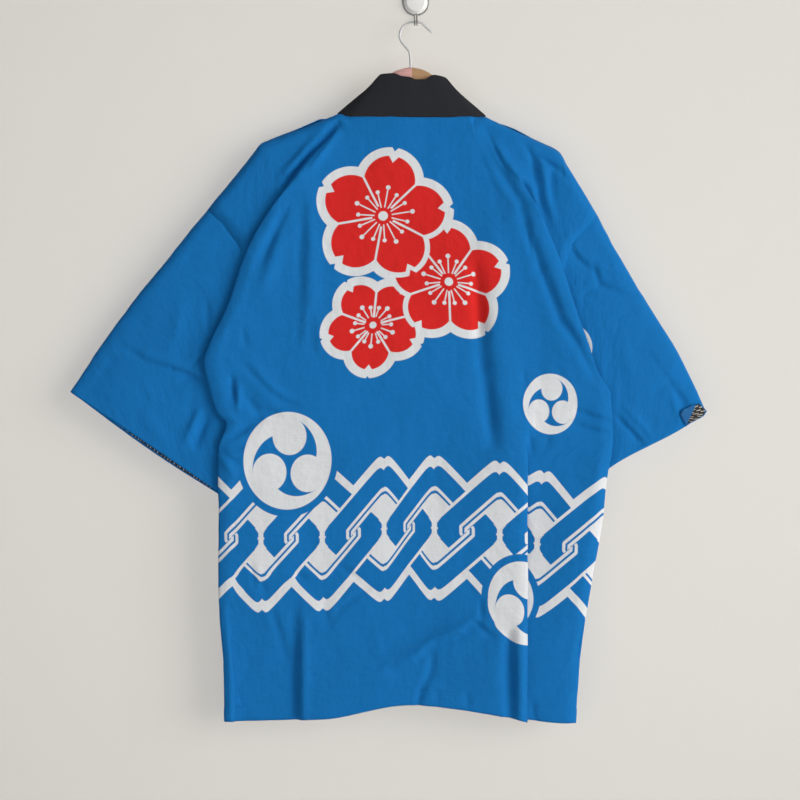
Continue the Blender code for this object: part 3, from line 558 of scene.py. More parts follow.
# Fine creases: where each runs, its height, how far its upper side stands over its lower one, its half width
Fine = namedtuple("Fine", "x1 z1 x2 z2 height lean width")
BACK_FINE = (
    # the fall of the cloth from the left shoulder
    Fine(-112, -186, -159, -237, 1.6, 0, 7), Fine(-159, -237, -197, -282, 1.6, 0, 7),
    Fine(-107, -168, -145, -208, -2.4, 0, 6), Fine(-145, -208, -181, -255, -3.0, 0, 6),
    Fine(-127, -181, -178, -236, 1.8, 0, 6),
    Fine(-155, -284, -157, -412, -1.3, 0, 9), Fine(-182, -292, -211, -357, -1.5, 0, 8),
    Fine(-144, -423, -141, -480, -0.8, 0, 4), Fine(-237, -455, -233, -475, -0.8, 0, 4),
    Fine(-158, -423, -163, -475, -0.7, 0, 4),
    # the gathers under the left arm
    Fine(-244, -530, -244, -560, 1.6, 0, 5), Fine(-252, -520, -247, -551, -1.9, 0, 4.5),
    Fine(-230, -504, -205, -532, -1.3, 0.8, 4.5), Fine(-205, -532, -181, -551, -1.3, 0.8, 4.5),
    Fine(-181, -551, -163, -556, -0.9, 0.5, 4.5),
    Fine(-230, -547, -219, -564, -1.2, 0, 5), Fine(-219, -564, -192, -566, -1.1, 0, 5),
    Fine(-215, -574, -259, -604, -1.7, 0, 5.5), Fine(-271, -619, -238, -614, -1.4, 0, 4),
    Fine(-271, -619, -245, -634, -1.2, 0, 4), Fine(-266, -628, -250, -650, 1.0, 0, 5),
    # the lower left
    Fine(-160, -850, -160, -992, 0.0, 1.5, 5),
    Fine(-196, -840, -185, -878, -1.2, 0, 4.5), Fine(-185, -878, -178, -908, -1.0, 0, 4.5),
    Fine(-225, -779, -222, -806, -0.8, 0, 4), Fine(-211, -800, -205, -813, -1.0, 0, 4),
    Fine(-164, -786, -151, -795, -1.5, 0, 4), Fine(-103, -778, -81, -792, -1.1, 0, 4),
    Fine(-108, -838, -66, -806, -0.8, 0, 4.5), Fine(-125, -823, -123, -855, -0.7, 0, 8),
    # the long slanting crease below the middle and what runs from it
    Fine(82, -853, 57, -871, -1.1, 1.3, 4.5), Fine(57, -871, 26, -881, -1.1, 1.3, 4.5),
    Fine(26, -881, 2, -904, -1.1, 1.1, 4.5), Fine(2, -904, -18, -914, -0.8, 0.8, 4.5),
    Fine(-18, -914, -42, -917, -0.5, 0.5, 4.5), Fine(84, -853, 96, -866, -1.1, 0.4, 4),
    Fine(96, -866, 104, -870, -0.9, 0.3, 4), Fine(88, -823, 90, -849, -1.0, 0, 4),
    Fine(23, -897, 20, -923, -1.3, 0, 4.5), Fine(20, -923, 7, -947, -1.5, 0, 4.5),
    Fine(7, -947, 3, -967, -1.5, 0, 4.5), Fine(29, -949, 29, -965, -0.8, 0, 3.5),
    Fine(70, -949, 71, -968, -0.9, 0, 3.5), Fine(160, -960, 162, -990, -0.7, 0, 3.5),
    # the upright folds right of the middle and beside the pleat
    Fine(82, -371, 92, -501, -2.2, 0, 11), Fine(92, -501, 106, -606, -2.6, 0, 11),
    Fine(127, -872, 129, -990, -2.6, 0, 9), Fine(143, -862, 143, -990, 1.2, 0, 8),
    # inside the right edge
    Fine(159, -329, 171, -370, -1.6, 0, 8), Fine(171, -370, 199, -440, -1.8, 0, 8),
    Fine(199, -440, 219, -468, -1.8, 0, 8), Fine(219, -468, 244, -520, -1.6, 0, 8),
    # the right shoulder
    Fine(96, -178, 119, -238, -1.5, 0, 9), Fine(119, -238, 145, -280, -1.9, 0, 9),
    Fine(145, -280, 151, -319, -1.4, 0, 9), Fine(107, -196, 130, -229, 1.6, 0, 7),
    Fine(130, -229, 159, -255, 1.8, 0, 7), Fine(159, -255, 180, -310, 1.6, 0, 7),
    Fine(149, -196, 160, -216, -0.8, 0, 5), Fine(160, -216, 168, -268, -1.5, 0, 5),
    Fine(168, -268, 182, -311, -2.2, 0, 5), Fine(171, -219, 180, -251, 1.8, 0, 5),
    Fine(180, -251, 183, -289, 1.8, 0, 5), Fine(187, -234, 186, -276, -1.6, 0, 5),
    Fine(171, -216, 203, -237, -1.4, 0, 4), Fine(203, -237, 236, -270, -0.9, 0, 4),
    Fine(153, -305, 155, -347, -0.9, 0, 4),
    # the short pulls beside the small crest
    Fine(221, -564, 263, -577, -1.6, 0.5, 4), Fine(219, -584, 266, -595, -1.5, 0.5, 4),
    Fine(181, -599, 178, -611, -0.7, 0, 4), Fine(155, -599, 159, -619, -0.8, 0, 4),
    Fine(147, -512, 149, -525, -0.7, 0, 4),
)
FRONT_FINE = (
    Fine(-236, -520, -150, -330, 1.6, 0, 14), Fine(-250, -560, -170, -500, -1.8, 0.5, 8),
    Fine(-240, -590, -130, -600, -1.2, 0, 9), Fine(-150, -205, -170, -330, -1.6, 0, 11),
    Fine(-190, -640, -200, -860, -1.4, 0, 14), Fine(-120, -470, -150, -520, -1.0, 0.4, 5),
    Fine(-215, -905, -180, -860, -1.1, 0.4, 5), Fine(-110, -760, -140, -735, -0.9, 0.3, 5),
    Fine(215, -515, 140, -350, 1.6, 0, 14), Fine(235, -560, 160, -505, -1.8, 0.5, 8),
    Fine(130, -205, 150, -320, -1.6, 0, 11), Fine(175, -640, 180, -880, -1.5, 0, 14),
    Fine(110, -480, 140, -540, -1.0, 0.4, 5), Fine(190, -900, 160, -850, -1.1, 0.4, 5),
    Fine(95, -700, 130, -680, -0.9, 0.3, 5), Fine(120, -610, 220, -600, -1.0, 0, 8),
)
SLEEVE_FINE = {
    LEFT: (
        Fine(-404, -473, -371, -495, -1.5, 0.8, 5), Fine(-371, -495, -336, -505, -1.5, 0.8, 5),
        Fine(-336, -505, -290, -522, -1.5, 0.8, 5), Fine(-288, -489, -312, -503, -1.3, 0, 5),
        Fine(-336, -378, -315, -381, -0.8, 0, 5), Fine(-288, -414, -285, -451, -1.1, 0, 6),
        Fine(-299, -567, -315, -603, 1.5, 0, 7), Fine(-288, -573, -303, -611, -1.7, 0, 7),
        Fine(-277, -295, -300, -329, -1.3, 0, 9), Fine(-460, -542, -433, -516, -1.0, 0, 8),
        Fine(-433, -516, -407, -478, -1.0, 0, 8), Fine(-323, -412, -337, -481, 0.9, 0, 12),
        Fine(-325, -523, -305, -518, -0.9, 0, 4), Fine(-380, -560, -350, -600, 0.8, 0, 12),
    ),
    RIGHT: (
        Fine(348, -520, 373, -559, -1.0, 0, 6), Fine(360, -538, 373, -560, -1.8, 0, 4.5),
        Fine(214, -342, 229, -360, -1.5, 0.6, 4.5), Fine(229, -360, 245, -371, -1.5, 0.6, 4.5),
        Fine(245, -363, 252, -390, -2.2, 0, 4.5), Fine(252, -390, 295, -406, -2.2, 1.0, 4.5),
        Fine(247, -397, 226, -406, -0.8, 0, 4.5), Fine(259, -322, 263, -351, -0.8, 0, 4.5),
        Fine(241, -308, 234, -319, -0.7, 0, 4), Fine(266, -438, 312, -426, -1.1, 0, 5),
        Fine(318, -449, 338, -478, -0.8, 0, 6), Fine(324, -489, 350, -524, -1.1, 0.4, 5),
        Fine(350, -524, 327, -538, -1.4, 0.5, 4), Fine(351, -527, 373, -559, -2.8, 0, 4.5),
        Fine(353, -544, 362, -579, 1.6, 0, 5), Fine(278, -573, 310, -608, -1.4, 0.6, 5),
        Fine(290, -560, 322, -596, 1.0, 0, 6), Fine(285, -470, 300, -520, 0.8, 0, 12),
    ),
}

# How many times as deep as their rows say the creases are made, and how a fine one fades off its line
FINE_DEPTH = 3.0
FINE_END = 0.55
FINE_SHARPNESS = 0.85
FINE_LEAN_WIDTH = 1.6
FINE_REACH = 3.2
BROAD_DEPTH = 2.0

# Small uneven waves of the cloth: their height, their length across and down, and where their noise starts
Wave = namedtuple("Wave", "height across down start")
WAVES = (Wave(2.0, 85, 130, 0), Wave(0.9, 33, 44, 7), Wave(0.35, 14, 18, 19))
BACK_WAVES = 1.0
FRONT_WAVES = 3.0
SLEEVE_WAVES = 6.0
COLLAR_WAVES = 11.0
COLLAR_WAVE_HEIGHT = 0.45

# Hem: the depth of its turn, the groove and puckers that its stitches pull, and the stitches
HEM_TURN = 20.0
HEM_RISE = 0.35
HEM_SLOPE = 3.0
HEM_GROOVE = 0.35
GROOVE_WIDTH = 2.6
PUCKER_PITCH = 6.5
PUCKER_WANDER = 3.0
WANDER_RUN = 31.0
WANDER_START = 5.0
TURN_CLEARANCE = 0.1
TURN_THICKNESS = 0.9
STITCH_PITCH = 3.2
STITCH_LONG = 2.3
STITCH_WIDE = 0.5
STITCH_FLATNESS = 0.4
CUFF_STITCH = 14.0

# The chain's print is drawn together left of the middle, and hangs lower right of the pleat
Shift = namedtuple("Shift", "x across down")
CHAIN_SHIFT = (
    Shift(-260, -37, 0), Shift(-213, -31.7, 0), Shift(-129, -25.7, 0), Shift(-44, -21.3, 0),
    Shift(-5, -9, 0), Shift(25, 0, 0), Shift(152, 0, 0), Shift(154, 0, -5), Shift(208, 0, -11),
    Shift(245, 0, -15),
)


def fine_steps(values, step):
    """The same rising values with even steps added between them."""
    steps = [values[0]]
    for low, high in zip(values, values[1:]):
        count = max(1, math.ceil((high - low) / step))
        steps.extend(low + (high - low) * index / count for index in range(1, count + 1))
    return steps


def near_crease(crease, x, z):
    """Whether a place is near enough to a fine crease to feel it."""
    reach = FINE_REACH * crease.width
    beside = min(crease.x1, crease.x2) - reach < x < max(crease.x1, crease.x2) + reach
    return beside and min(crease.z1, crease.z2) - reach < z < max(crease.z1, crease.z2) + reach


def fine_height(creases, x, z):
    """Height of the fine creases at a place."""
    height = 0.0
    for crease in creases:
        if not near_crease(crease, x, z):
            continue
        share, off, above = beside_crease(crease, x, z)
        taper = FINE_DEPTH * (FINE_END + (1 - FINE_END) * math.sin(math.pi * share))
        near = math.exp(-(off / (FINE_SHARPNESS * crease.width)) ** 2)
        wide = math.exp(-(off / (FINE_LEAN_WIDTH * crease.width)) ** 2)
        height += taper * (crease.height * near + crease.lean * above / crease.width * wide)
    return height


def wrinkle(place, seed):
    """Height of the cloth's small uneven waves."""
    x, z = place
    height = 0.0
    for wave in WAVES:
        height += wave.height * noise.noise(Vector((x / wave.across, z / wave.down, seed + wave.start)))
    return height


def hem_height(edge, run):
    """Thickness of the turned hem and the puckered groove of its stitches; edge is from the hem up."""
    rise = HEM_RISE * smooth_step((HEM_TURN + 1 - edge) / HEM_SLOPE)
    near = math.exp(-((edge - HEM_TURN) / GROOVE_WIDTH) ** 2)
    wander = PUCKER_WANDER * noise.noise(Vector((run / WANDER_RUN, 0, WANDER_START)))
    pucker = 0.5 + 0.5 * math.sin(2 * math.pi * run / PUCKER_PITCH + wander)
    return rise - HEM_GROOVE * near * pucker


def sheet_rows(rows, flats, facing, seed, hem=None, calm=False):
    """Places and outward directions of a sheet's points, with waves and hem worked in."""
    last_row = len(rows) - 1
    last = len(rows[0]) - 1
    places = []
    for index, row in enumerate(rows):
        above = rows[max(index - 1, 0)]
        below = rows[min(index + 1, last_row)]
        line = []
        for column, spot in enumerate(row):
            across = row[min(column + 1, last)] - row[max(column - 1, 0)]
            down = below[column] - above[column]
            outward = down.cross(across).normalized() * facing * -1
            flat = flats[index][column]
            height = 0.0 if calm else wrinkle(flat, seed)
            if hem is not None:
                height += hem_height(hem - flat[1], flat[0])
            line.append((spot + outward * height, outward))
        places.append(line)
    return places


def add_piece(name, data, finish, thickness=None):
    """Link a finished piece, which rides on the one body; cloth gets its thickness about its middle."""
    piece = bpy.data.objects.new(name, data)
    bpy.context.scene.collection.objects.link(piece)
    data.materials.append(finish)
    if thickness is not None:
        wall = piece.modifiers.new("cloth thickness", "SOLIDIFY")
        wall.thickness = thickness * MM
        wall.offset = 0.0
        wall.use_even_offset = False
        wall.use_rim = True
    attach(piece, "root")
    return piece


def bend_grid(rows):
    """A grid mesh bent to rows of points in millimetres, and each vertex's column and row."""
    cloth = bmesh.new()
    columns = len(rows[0]) - 1
    bmesh.ops.create_grid(cloth, x_segments=columns, y_segments=len(rows) - 1, size=1.0)
    cloth.verts.index_update()
    spots = {}
    for vertex in cloth.verts:
        column = round((vertex.co.x + 1) / 2 * columns)
        row = round((vertex.co.y + 1) / 2 * (len(rows) - 1))
        spots[vertex.index] = (column, row)
        vertex.co = rows[row][column] * MM
    return cloth, spots


def smooth_mesh(name, shape):
    """A smooth mesh of a finished shape."""
    mesh = bpy.data.meshes.new(name)
    shape.to_mesh(mesh)
    shape.free()
    mesh.shade_smooth()
    return mesh


def cloth_sheet(name, places, flats, finish, thickness=SHELL, welded=False, prints=None):
    """A thin sheet through its places, with maps of the cloth as it was cut and as it was printed."""
    cloth, spots = bend_grid([[place for place, _ in line] for line in places])
    cloth_map = cloth.loops.layers.uv.new("cloth")
    print_map = cloth.loops.layers.uv.new("print")
    prints = prints or flats
    for face in cloth.faces:
        for loop in face.loops:
            column, row = spots[loop.vert.index]
            loop[cloth_map].uv = Vector(flats[row][column]) * MM
            loop[print_map].uv = Vector(prints[row][column]) * MM
    cloth.faces.ensure_lookup_table()
    face = cloth.faces[len(cloth.faces) // 2]
    column, row = spots[face.verts[0].index]
    face.normal_update()
    if face.normal.dot(places[row][column][1]) < 0:
        bmesh.ops.reverse_faces(cloth, faces=cloth.faces)
    if welded:
        bmesh.ops.remove_doubles(cloth, verts=cloth.verts, dist=WELD * MM)
    return add_piece(name, smooth_mesh(name, cloth), finish, thickness)


def back_row(drop):
    """One row of the back panel, from its left side seam to its right one."""
    left = read_table(LEFT_SIDE, drop)
    right = read_table(RIGHT_SIDE, drop)
    pleat = read_table(PLEAT, drop)
    middle_y = read_table(FIELD, drop).y
    left_keys = side_keys(left, LEFT, BACK, left.fold_x, left.fold_z)
    right_keys = side_keys(right, RIGHT, BACK, right.fold_x, right.fold_z)
    reach = min(FOLD_REACH, FOLD_SHARE * pleat.depth) if pleat.depth > 0 else pleat.depth / 3
    inner_x = pleat.edge_x - pleat.depth
    tilt = FOLD_TILT * (pleat.right_y - pleat.left_y)
    pleat_places = (
        (pleat.edge_x - FOLD_REACH, pleat.left_y),
        (pleat.edge_x, (pleat.left_y + pleat.middle_y) / 2),
        (pleat.edge_x - reach, pleat.middle_y - tilt),
        (inner_x + reach, pleat.middle_y + tilt),
        (inner_x, (pleat.middle_y + pleat.right_y) / 2),
        (inner_x + FOLD_REACH, pleat.right_y),
    )
    quarter_x = (CENTRE_X + left_keys[0].x) / 2
    field = [neck_turn(left_keys[0], LEFT, drop, middle_y)]
    field.append(Vector((quarter_x, middle_y, field_z(quarter_x, drop))))
    field.append(Vector((CENTRE_X, middle_y, field_z(CENTRE_X, drop))))
    field.extend(Vector((x, y, field_z(x, drop))) for x, y in pleat_places)
    field.append(neck_turn(right_keys[0], RIGHT, drop, middle_y))
    row = smooth_line(list(reversed(left_keys)) + field + right_keys, BACK_PIECES)
    first = sum(BACK_PIECES[:BACK_FOLD_STRETCHES])
    last = len(row) - first
    roll = shoulder_roll(drop)
    for point in row[first:last]:
        point.y -= BROAD_DEPTH * back_relief(point.x, point.z) * roll
    for point in row:
        point.y -= fine_height(BACK_FINE, point.x, point.z) * roll
    return row


def front_row(side, drop):
    """One row of a front panel, from the collar's seam to the side seam."""
    row = read_table(side_table(side), drop)
    fold = read_table(FRONT_FOLD, drop)
    leg = read_table(COLLAR_LEG[side], drop)
    fold_x = fold.left_x if side == LEFT else fold.right_x
    fold_z = fold.left_z if side == LEFT else fold.right_z
    keys = side_keys(row, side, FRONT, fold_x, fold_z)
    inner_z = SHOULDER_Z[side] + (FRONT_HEM_Z - SHOULDER_Z[side]) * drop / LENGTH
    inner_y = HANGER_Y + SHOULDER_GAP / 2 if drop == 0 else leg.seam_y
    inner = Vector((leg.seam_x + side * SEAM_GAP, inner_y, inner_z))
    middle = (inner + keys[0]) / 2
    points = smooth_line([inner, middle] + keys, FRONT_PIECES)
    roll = shoulder_roll(drop)
    for point in points[1:sum(FRONT_PIECES[:FRONT_STRETCHES]) + 1]:
        fade = smooth_step((WAVE_TOP_Z - point.z) / WAVE_FADE)
        off = abs(point.x - inner.x)
        share = math.sin(math.pi * min(off / abs(keys[0].x - inner.x), 1.0))
        point.y += WAVE_DEPTH * fade * share * math.cos(2 * math.pi * off / WAVE_PITCH)
        point.y += fine_height(FRONT_FINE, point.x, point.z) * roll * share
    return points


def runs_along(points, start=0):
    """Length of cloth along points, 0 at the point numbered start."""
    runs = [0.0]
    for before, after in zip(points, points[1:]):
        runs.append(runs[-1] + (after - before).length)
    return [run - runs[start] for run in runs]


def sew(name, path, finish, lift):
    """A line of stitches along (place, outward) pairs."""
    seam = bmesh.new()
    runs = runs_along([place for place, _ in path])
    at = STITCH_PITCH
    index = 0
    while at < runs[-1] - STITCH_PITCH:
        while runs[index + 1] < at:
            index += 1
        place, outward = path[index]
        following, _ = path[index + 1]
        along = (following - place).normalized()
        middle = place + (following - place) * ((at - runs[index]) / (runs[index + 1] - runs[index]))
        side = outward.cross(along).normalized()
        turn = Matrix((along, side, outward)).transposed().to_4x4()
        halves = (STITCH_LONG / 2, STITCH_WIDE / 2, STITCH_WIDE * STITCH_FLATNESS)
        size = Matrix.Diagonal([half * MM for half in halves] + [1.0])
        spot = Matrix.Translation((middle + outward * lift) * MM)
        bmesh.ops.create_icosphere(seam, subdivisions=1, radius=1.0, matrix=spot @ turn @ size)
        at += STITCH_PITCH
    return add_piece(name, smooth_mesh(name, seam), finish)


def row_near(values, wanted):
    """Number of the value nearest to the wanted one."""
    return min(range(len(values)), key=lambda index: abs(values[index] - wanted))


def hem_strip(name, places, flats, drops, finish):
    """The cloth turned up inside a hem."""
    first = row_near(drops, LENGTH - HEM_TURN)
    inner = []
    for line in places[first:]:
        inner.append([(place - outward * (SHELL + TURN_CLEARANCE), outward) for place, outward in line])
    return cloth_sheet(name, inner, flats[first:], finish, thickness=SHELL * TURN_THICKNESS)


def shifted(places, flats):
    """Where the chain is printed, drawn up a little beside the fold left of the middle."""
    prints = []
    for line, flat_line in zip(places, flats):
        shifts = [read_table(CHAIN_SHIFT, place.x) for place, _ in line]
        prints.append([(u + shift.across, v + shift.down) for shift, (u, v) in zip(shifts, flat_line)])
    return prints


def build_panel(name, node, rows, flats, drops, facing, seed, finish):
    """A panel of the body with its hem turned up and sewn."""
    places = sheet_rows(rows, flats, facing, seed, hem=LENGTH)
    prints = shifted(places, flats) if facing == BACK else None
    panel = cloth_sheet(name, places, flats, finish, prints=prints)
    hem = hem_strip(name + "_hem_turn", places, flats, drops, finish)
    thread = sew(name + "_hem_stitches", places[row_near(drops, LENGTH - HEM_TURN)], BLUE_THREAD, SHELL / 2)
    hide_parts(node)


def build_back():
    """The back, cut in one piece."""
    drops = fine_steps(sorted(BACK_DROPS + (LENGTH - HEM_TURN,)), ROW_STEP)
    rows = [back_row(drop) for drop in drops]
    centre = sum(BACK_PIECES[:BACK_CENTRE_STRETCHES])
    flats = [[(run, drop) for run in runs_along(row, centre)] for row, drop in zip(rows, drops)]
    build_panel("jacket_back", "back_panel", rows, flats, drops, BACK, BACK_WAVES, BACK_PRINT)


def build_front(name, node, side):
    """One front, on the side nearer the wall."""
    drops = fine_steps(sorted(DROPS + (LENGTH - HEM_TURN,)), ROW_STEP)
    rows = [front_row(side, drop) for drop in drops]
    flats = []
    for row, drop in zip(rows, drops):
        runs = runs_along(row, len(row) - 1)
        flats.append([(side * (HALF_WIDTH + run), drop) for run in runs])
    facing = FRONT * side * LEFT
    build_panel(name, node, rows, flats, drops, facing, FRONT_WAVES + side, FRONT_PRINT)


# The sleeve's edge is tucked behind the body's cloth at the armhole seam
TUCK_LENGTH = 7.0
TUCK_DEPTH = 1.6
TUCK_EASE = 12.0

# A sleeve's mean length, its length where the cuff's stitches run, and how far its wall side's print is moved
SLEEVE_LENGTH = 300.0
CUFF_STITCH_RUN = 240.0
WALL_SIDE_SHIFT = 1000.0


def tucked(row, side, arounds):
    """The sleeve's sewn edge, moved under the body's cloth."""
    edge = []
    for spot, around in zip(row, arounds):
        inside = 1.0 if around <= 0.5 else -1.0
        near_fold = min(around, 1 - around) * ARMHOLE
        depth = TUCK_DEPTH * min(near_fold / TUCK_EASE, 1.0)
        edge.append(spot + Vector((-side * TUCK_LENGTH, inside * depth, 0.0)))
    return edge


def sleeve_arounds():
    """Where a sleeve's columns lie, from its top fold down its outer side and up its wall side."""
    drops = fine_steps([drop for drop in DROPS if drop <= ARMHOLE], SLEEVE_STEP)
    downs = [drop / ARMHOLE for drop in drops]
    return [down / 2 for down in downs] + [1 - down / 2 for down in reversed(downs[:-1])]


def sleeve_prints(places, arounds):
    """Where a crest is printed: the sleeve seen flat, with its wall side well away from its outer side."""
    shifts = [0.0 if around <= 0.5 else WALL_SIDE_SHIFT for around in arounds]
    return [[(place.x + shift, -place.z) for (place, _), shift in zip(line, shifts)] for line in places]


def sleeve_flats(rows):
    """The sleeve's cloth laid flat: along it from its sewn edge, and round it from its top fold."""
    lengths = [runs_along(column) for column in zip(*rows)]
    return [[(length[index], run) for length, run in zip(lengths, runs_along(row))]
            for index, row in enumerate(rows)]


def build_sleeve(name, node, side, finish):
    """A sleeve, sewn in at the armhole and open at its mouth."""
    arounds = sleeve_arounds()
    shares = fine_steps(SLEEVE_SHARES, SLEEVE_STEP / SLEEVE_LENGTH)
    rows = []
    for share in shares:
        row = [sleeve_point(side, share, around) for around in arounds]
        for spot, around in zip(row, arounds):
            down = min(2 * around, 2 - 2 * around)
            fade = math.sin(math.pi * min(down, 0.5)) if around <= 0.5 else 0.0
            spot.y -= fine_height(SLEEVE_FINE[side], spot.x, spot.z) * fade
        rows.append(row)
    rows.insert(0, tucked(rows[0], side, arounds))
    shares.insert(0, -TUCK_LENGTH / SLEEVE_LENGTH)
    flats = sleeve_flats(rows)
    places = sheet_rows(rows, flats, side, SLEEVE_WAVES + side)
    for line in places:
        line[-1] = line[0]
    sleeve = cloth_sheet(name, places, flats, finish, welded=True, prints=sleeve_prints(places, arounds))
    cuff = places[row_near(shares, 1 - CUFF_STITCH / CUFF_STITCH_RUN)]
    thread = sew(name + "_cuff_stitches", cuff, BLUE_THREAD, SHELL / 2)
    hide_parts(node)


def build_facing(name, node, side):
    """The printed strip inside a cuff, on the side nearer the wall."""
    inset = (SHELL + FACING_CLOTH) / 2 + SEAM_GAP
    drops = fine_steps(FACING_DROPS, SLEEVE_STEP)
    shares = fine_steps(FACING_SHARES, SLEEVE_STEP / SLEEVE_LENGTH)
    rows = []
    for share in shares:
        row = [sleeve_point(side, share, 1 - drop / ARMHOLE / 2) for drop in drops]
        rows.append([spot - Vector((0, inset, 0)) for spot in row])
    flats = sleeve_flats(rows)
    places = sheet_rows(rows, flats, side, 0.0, calm=True)
    facing = cloth_sheet(name, places, flats, FACING_PRINT, thickness=FACING_CLOTH)
    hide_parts(node)


# The right cuff's corner, folded over to show its facing: its outer edge and its inner one
Corner = namedtuple("Corner", "share outer inner")
CUFF_CORNER = (
    Corner(0.0, (391.7, -39.3, -554.5), (382.0, -40.9, -555.7)),
    Corner(0.3, (400.2, -39.9, -564.4), (366.3, -41.8, -562.7)),
    Corner(0.55, (395.6, -40.4, -571.4), (363.2, -42.0, -568.8)),
    Corner(1.0, (371.5, -40.8, -584.2), (369.8, -41.4, -580.2)),
)
CORNER_LENGTH = 40.0
CORNER_ROWS = 20
CORNER_COLUMNS = 16
CORNER_BULGE = 0.8


def corner_edges(share):
    """The folded corner's outer and inner edge, straight between its rows."""
    index = max(row for row in range(len(CUFF_CORNER) - 1) if CUFF_CORNER[row].share <= share)
    low = CUFF_CORNER[index]
    high = CUFF_CORNER[index + 1]
    part = (share - low.share) / (high.share - low.share)
    outer = Vector(low.outer).lerp(Vector(high.outer), part)
    return outer, Vector(low.inner).lerp(Vector(high.inner), part)


def build_cuff_corner():
    """The right cuff's corner, folded back over its outer side."""
    rows = []
    for step in range(CORNER_ROWS + 1):
        outer, inner = corner_edges(step / CORNER_ROWS)
        row = [outer.lerp(inner, column / CORNER_COLUMNS) for column in range(CORNER_COLUMNS + 1)]
        for column, spot in enumerate(row):
            across = math.sin(math.pi * column / CORNER_COLUMNS)
            spot.y -= CORNER_BULGE * across * math.sin(math.pi * step / CORNER_ROWS)
        rows.append(row)
    downs = [step * CORNER_LENGTH / CORNER_ROWS for step in range(CORNER_ROWS + 1)]
    flats = [[(run, down) for run in runs_along(row)] for down, row in zip(downs, rows)]
    prints = [[(spot.x, -spot.z) for spot in row] for row in rows]
    places = sheet_rows(rows, flats, 1, 0.0, calm=True)
    corner = cloth_sheet("cuff_corner_right", places, flats, CORNER_PRINT, prints=prints)


# Collar band: the folded cloth's half thickness and how its section is divided
COLLAR_HALF = 1.4
COLLAR_SHARES = (0, 0.004, 0.012, 0.03, 0.08, 0.18, 0.32, 0.5, 0.68, 0.82, 0.92, 0.97, 0.988, 0.996, 1)
COLLAR_WIDTH = 58.0
COLLAR_LAP = 0.03
COLLAR_NECK_STEPS = 72
COLLAR_STEP = 6.0


def collar_path():
    """Sections of the whole band, from one hem round the neck to the other hem."""
    drops = [drop for drop in fine_steps(DROPS, COLLAR_STEP) if drop > 0]
    last = COLLAR_BACK[-1].drop
    left = [read_table(COLLAR_LEG[LEFT], drop) for drop in reversed(drops)]
    turns = [step * last / COLLAR_NECK_STEPS for step in range(COLLAR_NECK_STEPS + 1)]
    neck = [read_table(COLLAR_BACK, turn) for turn in turns]
    right = [read_table(COLLAR_LEG[RIGHT], drop) for drop in drops]
    return left + neck + right


def edges_of(station):
    """The band's sewn edge and its free edge at one section."""
    seam = Vector((station.seam_x, station.seam_y, station.seam_z))
    return seam, Vector((station.free_x, station.free_y, station.free_z))


def collar_ring(before, station, after, run):
    """A closed section of the folded band, rounded at both edges."""
    seam, free = edges_of(station)
    along = sum(edges_of(after), Vector()) - sum(edges_of(before), Vector())
    outward = (free - seam).cross(along).normalized()
    bow = COLLAR_BOW if station.seam_y < HANGER_Y else 0.0
    lap = COLLAR_LAP if station.seam_y < HANGER_Y else 0.0
    ring = []
    for face, shares in ((1, COLLAR_SHARES), (-1, COLLAR_SHARES[-2:0:-1])):
        for share in shares:
            edge = min(share, 1 - share) * COLLAR_WIDTH / COLLAR_HALF
            half = COLLAR_HALF * math.sqrt(max(0.0, 1 - max(0.0, 1 - edge) ** 2))
            spot = seam.lerp(free, share + lap * (share - 1))
            spot.y -= bow * math.sin(math.pi * share)
            wave = COLLAR_WAVE_HEIGHT * wrinkle((share * COLLAR_WIDTH, run), COLLAR_WAVES)
            ring.append(spot + outward * (face * half + wave))
    return ring


def loft(name, rings, finish):
    """A closed solid through rings of points."""
    closed = [ring + ring[:1] for ring in rings]
    body, _ = bend_grid(closed)
    bmesh.ops.remove_doubles(body, verts=body.verts, dist=LOFT_WELD * MM)
    bmesh.ops.holes_fill(body, edges=body.edges, sides=len(rings[0]))
    bmesh.ops.recalc_face_normals(body, faces=body.faces)
    return add_piece(name, smooth_mesh(name, body), finish)


def build_collar():
    """The folded collar band, in one piece."""
    stations = collar_path()
    rings = []
    run = 0.0
    for index, station in enumerate(stations):
        before = stations[max(index - 1, 0)]
        after = stations[min(index + 1, len(stations) - 1)]
        run += (edges_of(station)[0] - edges_of(before)[0]).length
        rings.append(collar_ring(before, station, after, run))
    collar = loft("jacket_collar", rings, BLACK_COTTON)
    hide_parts("collar_neck", "collar_left", "collar_right")


def build_hanger():
    """The hanger's bowed wooden bar."""
    tops = [bar.x for bar in HANGER_BAR]
    rings = [bar_section(read_table(HANGER_BAR, x)) for x in fine_steps(tops, BAR_STEP)]
    bar = loft("hanger_body", rings, HANGER_WOOD)
    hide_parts("hanger_bar")


# A wire's domed end: how far in from its tip two points lie and how thick the wire is at them
DOME_REACH = 0.4
DOME_TIP = 0.45
DOME_SHOULDER = 0.8


def round_wire(name, places, radius, finish, closed=False):
    """A round wire through its places, an open one with domed ends."""
    data = bpy.data.curves.new(name, "CURVE")
    data.dimensions = "3D"
    data.bevel_depth = radius * MM
    data.bevel_resolution = WIRE_ROUNDNESS
    data.use_fill_caps = not closed
    run = data.splines.new("POLY")
    run.points.add(len(places) - 1)
    for point, place in zip(run.points, places):
        point.co = (*(Vector(place) * MM), 1.0)
    if not closed:
        for index, part in ((0, DOME_TIP), (1, DOME_SHOULDER), (-1, DOME_TIP), (-2, DOME_SHOULDER)):
            run.points[index].radius = part
    run.use_cyclic_u = closed
    return add_piece(name, data, finish)


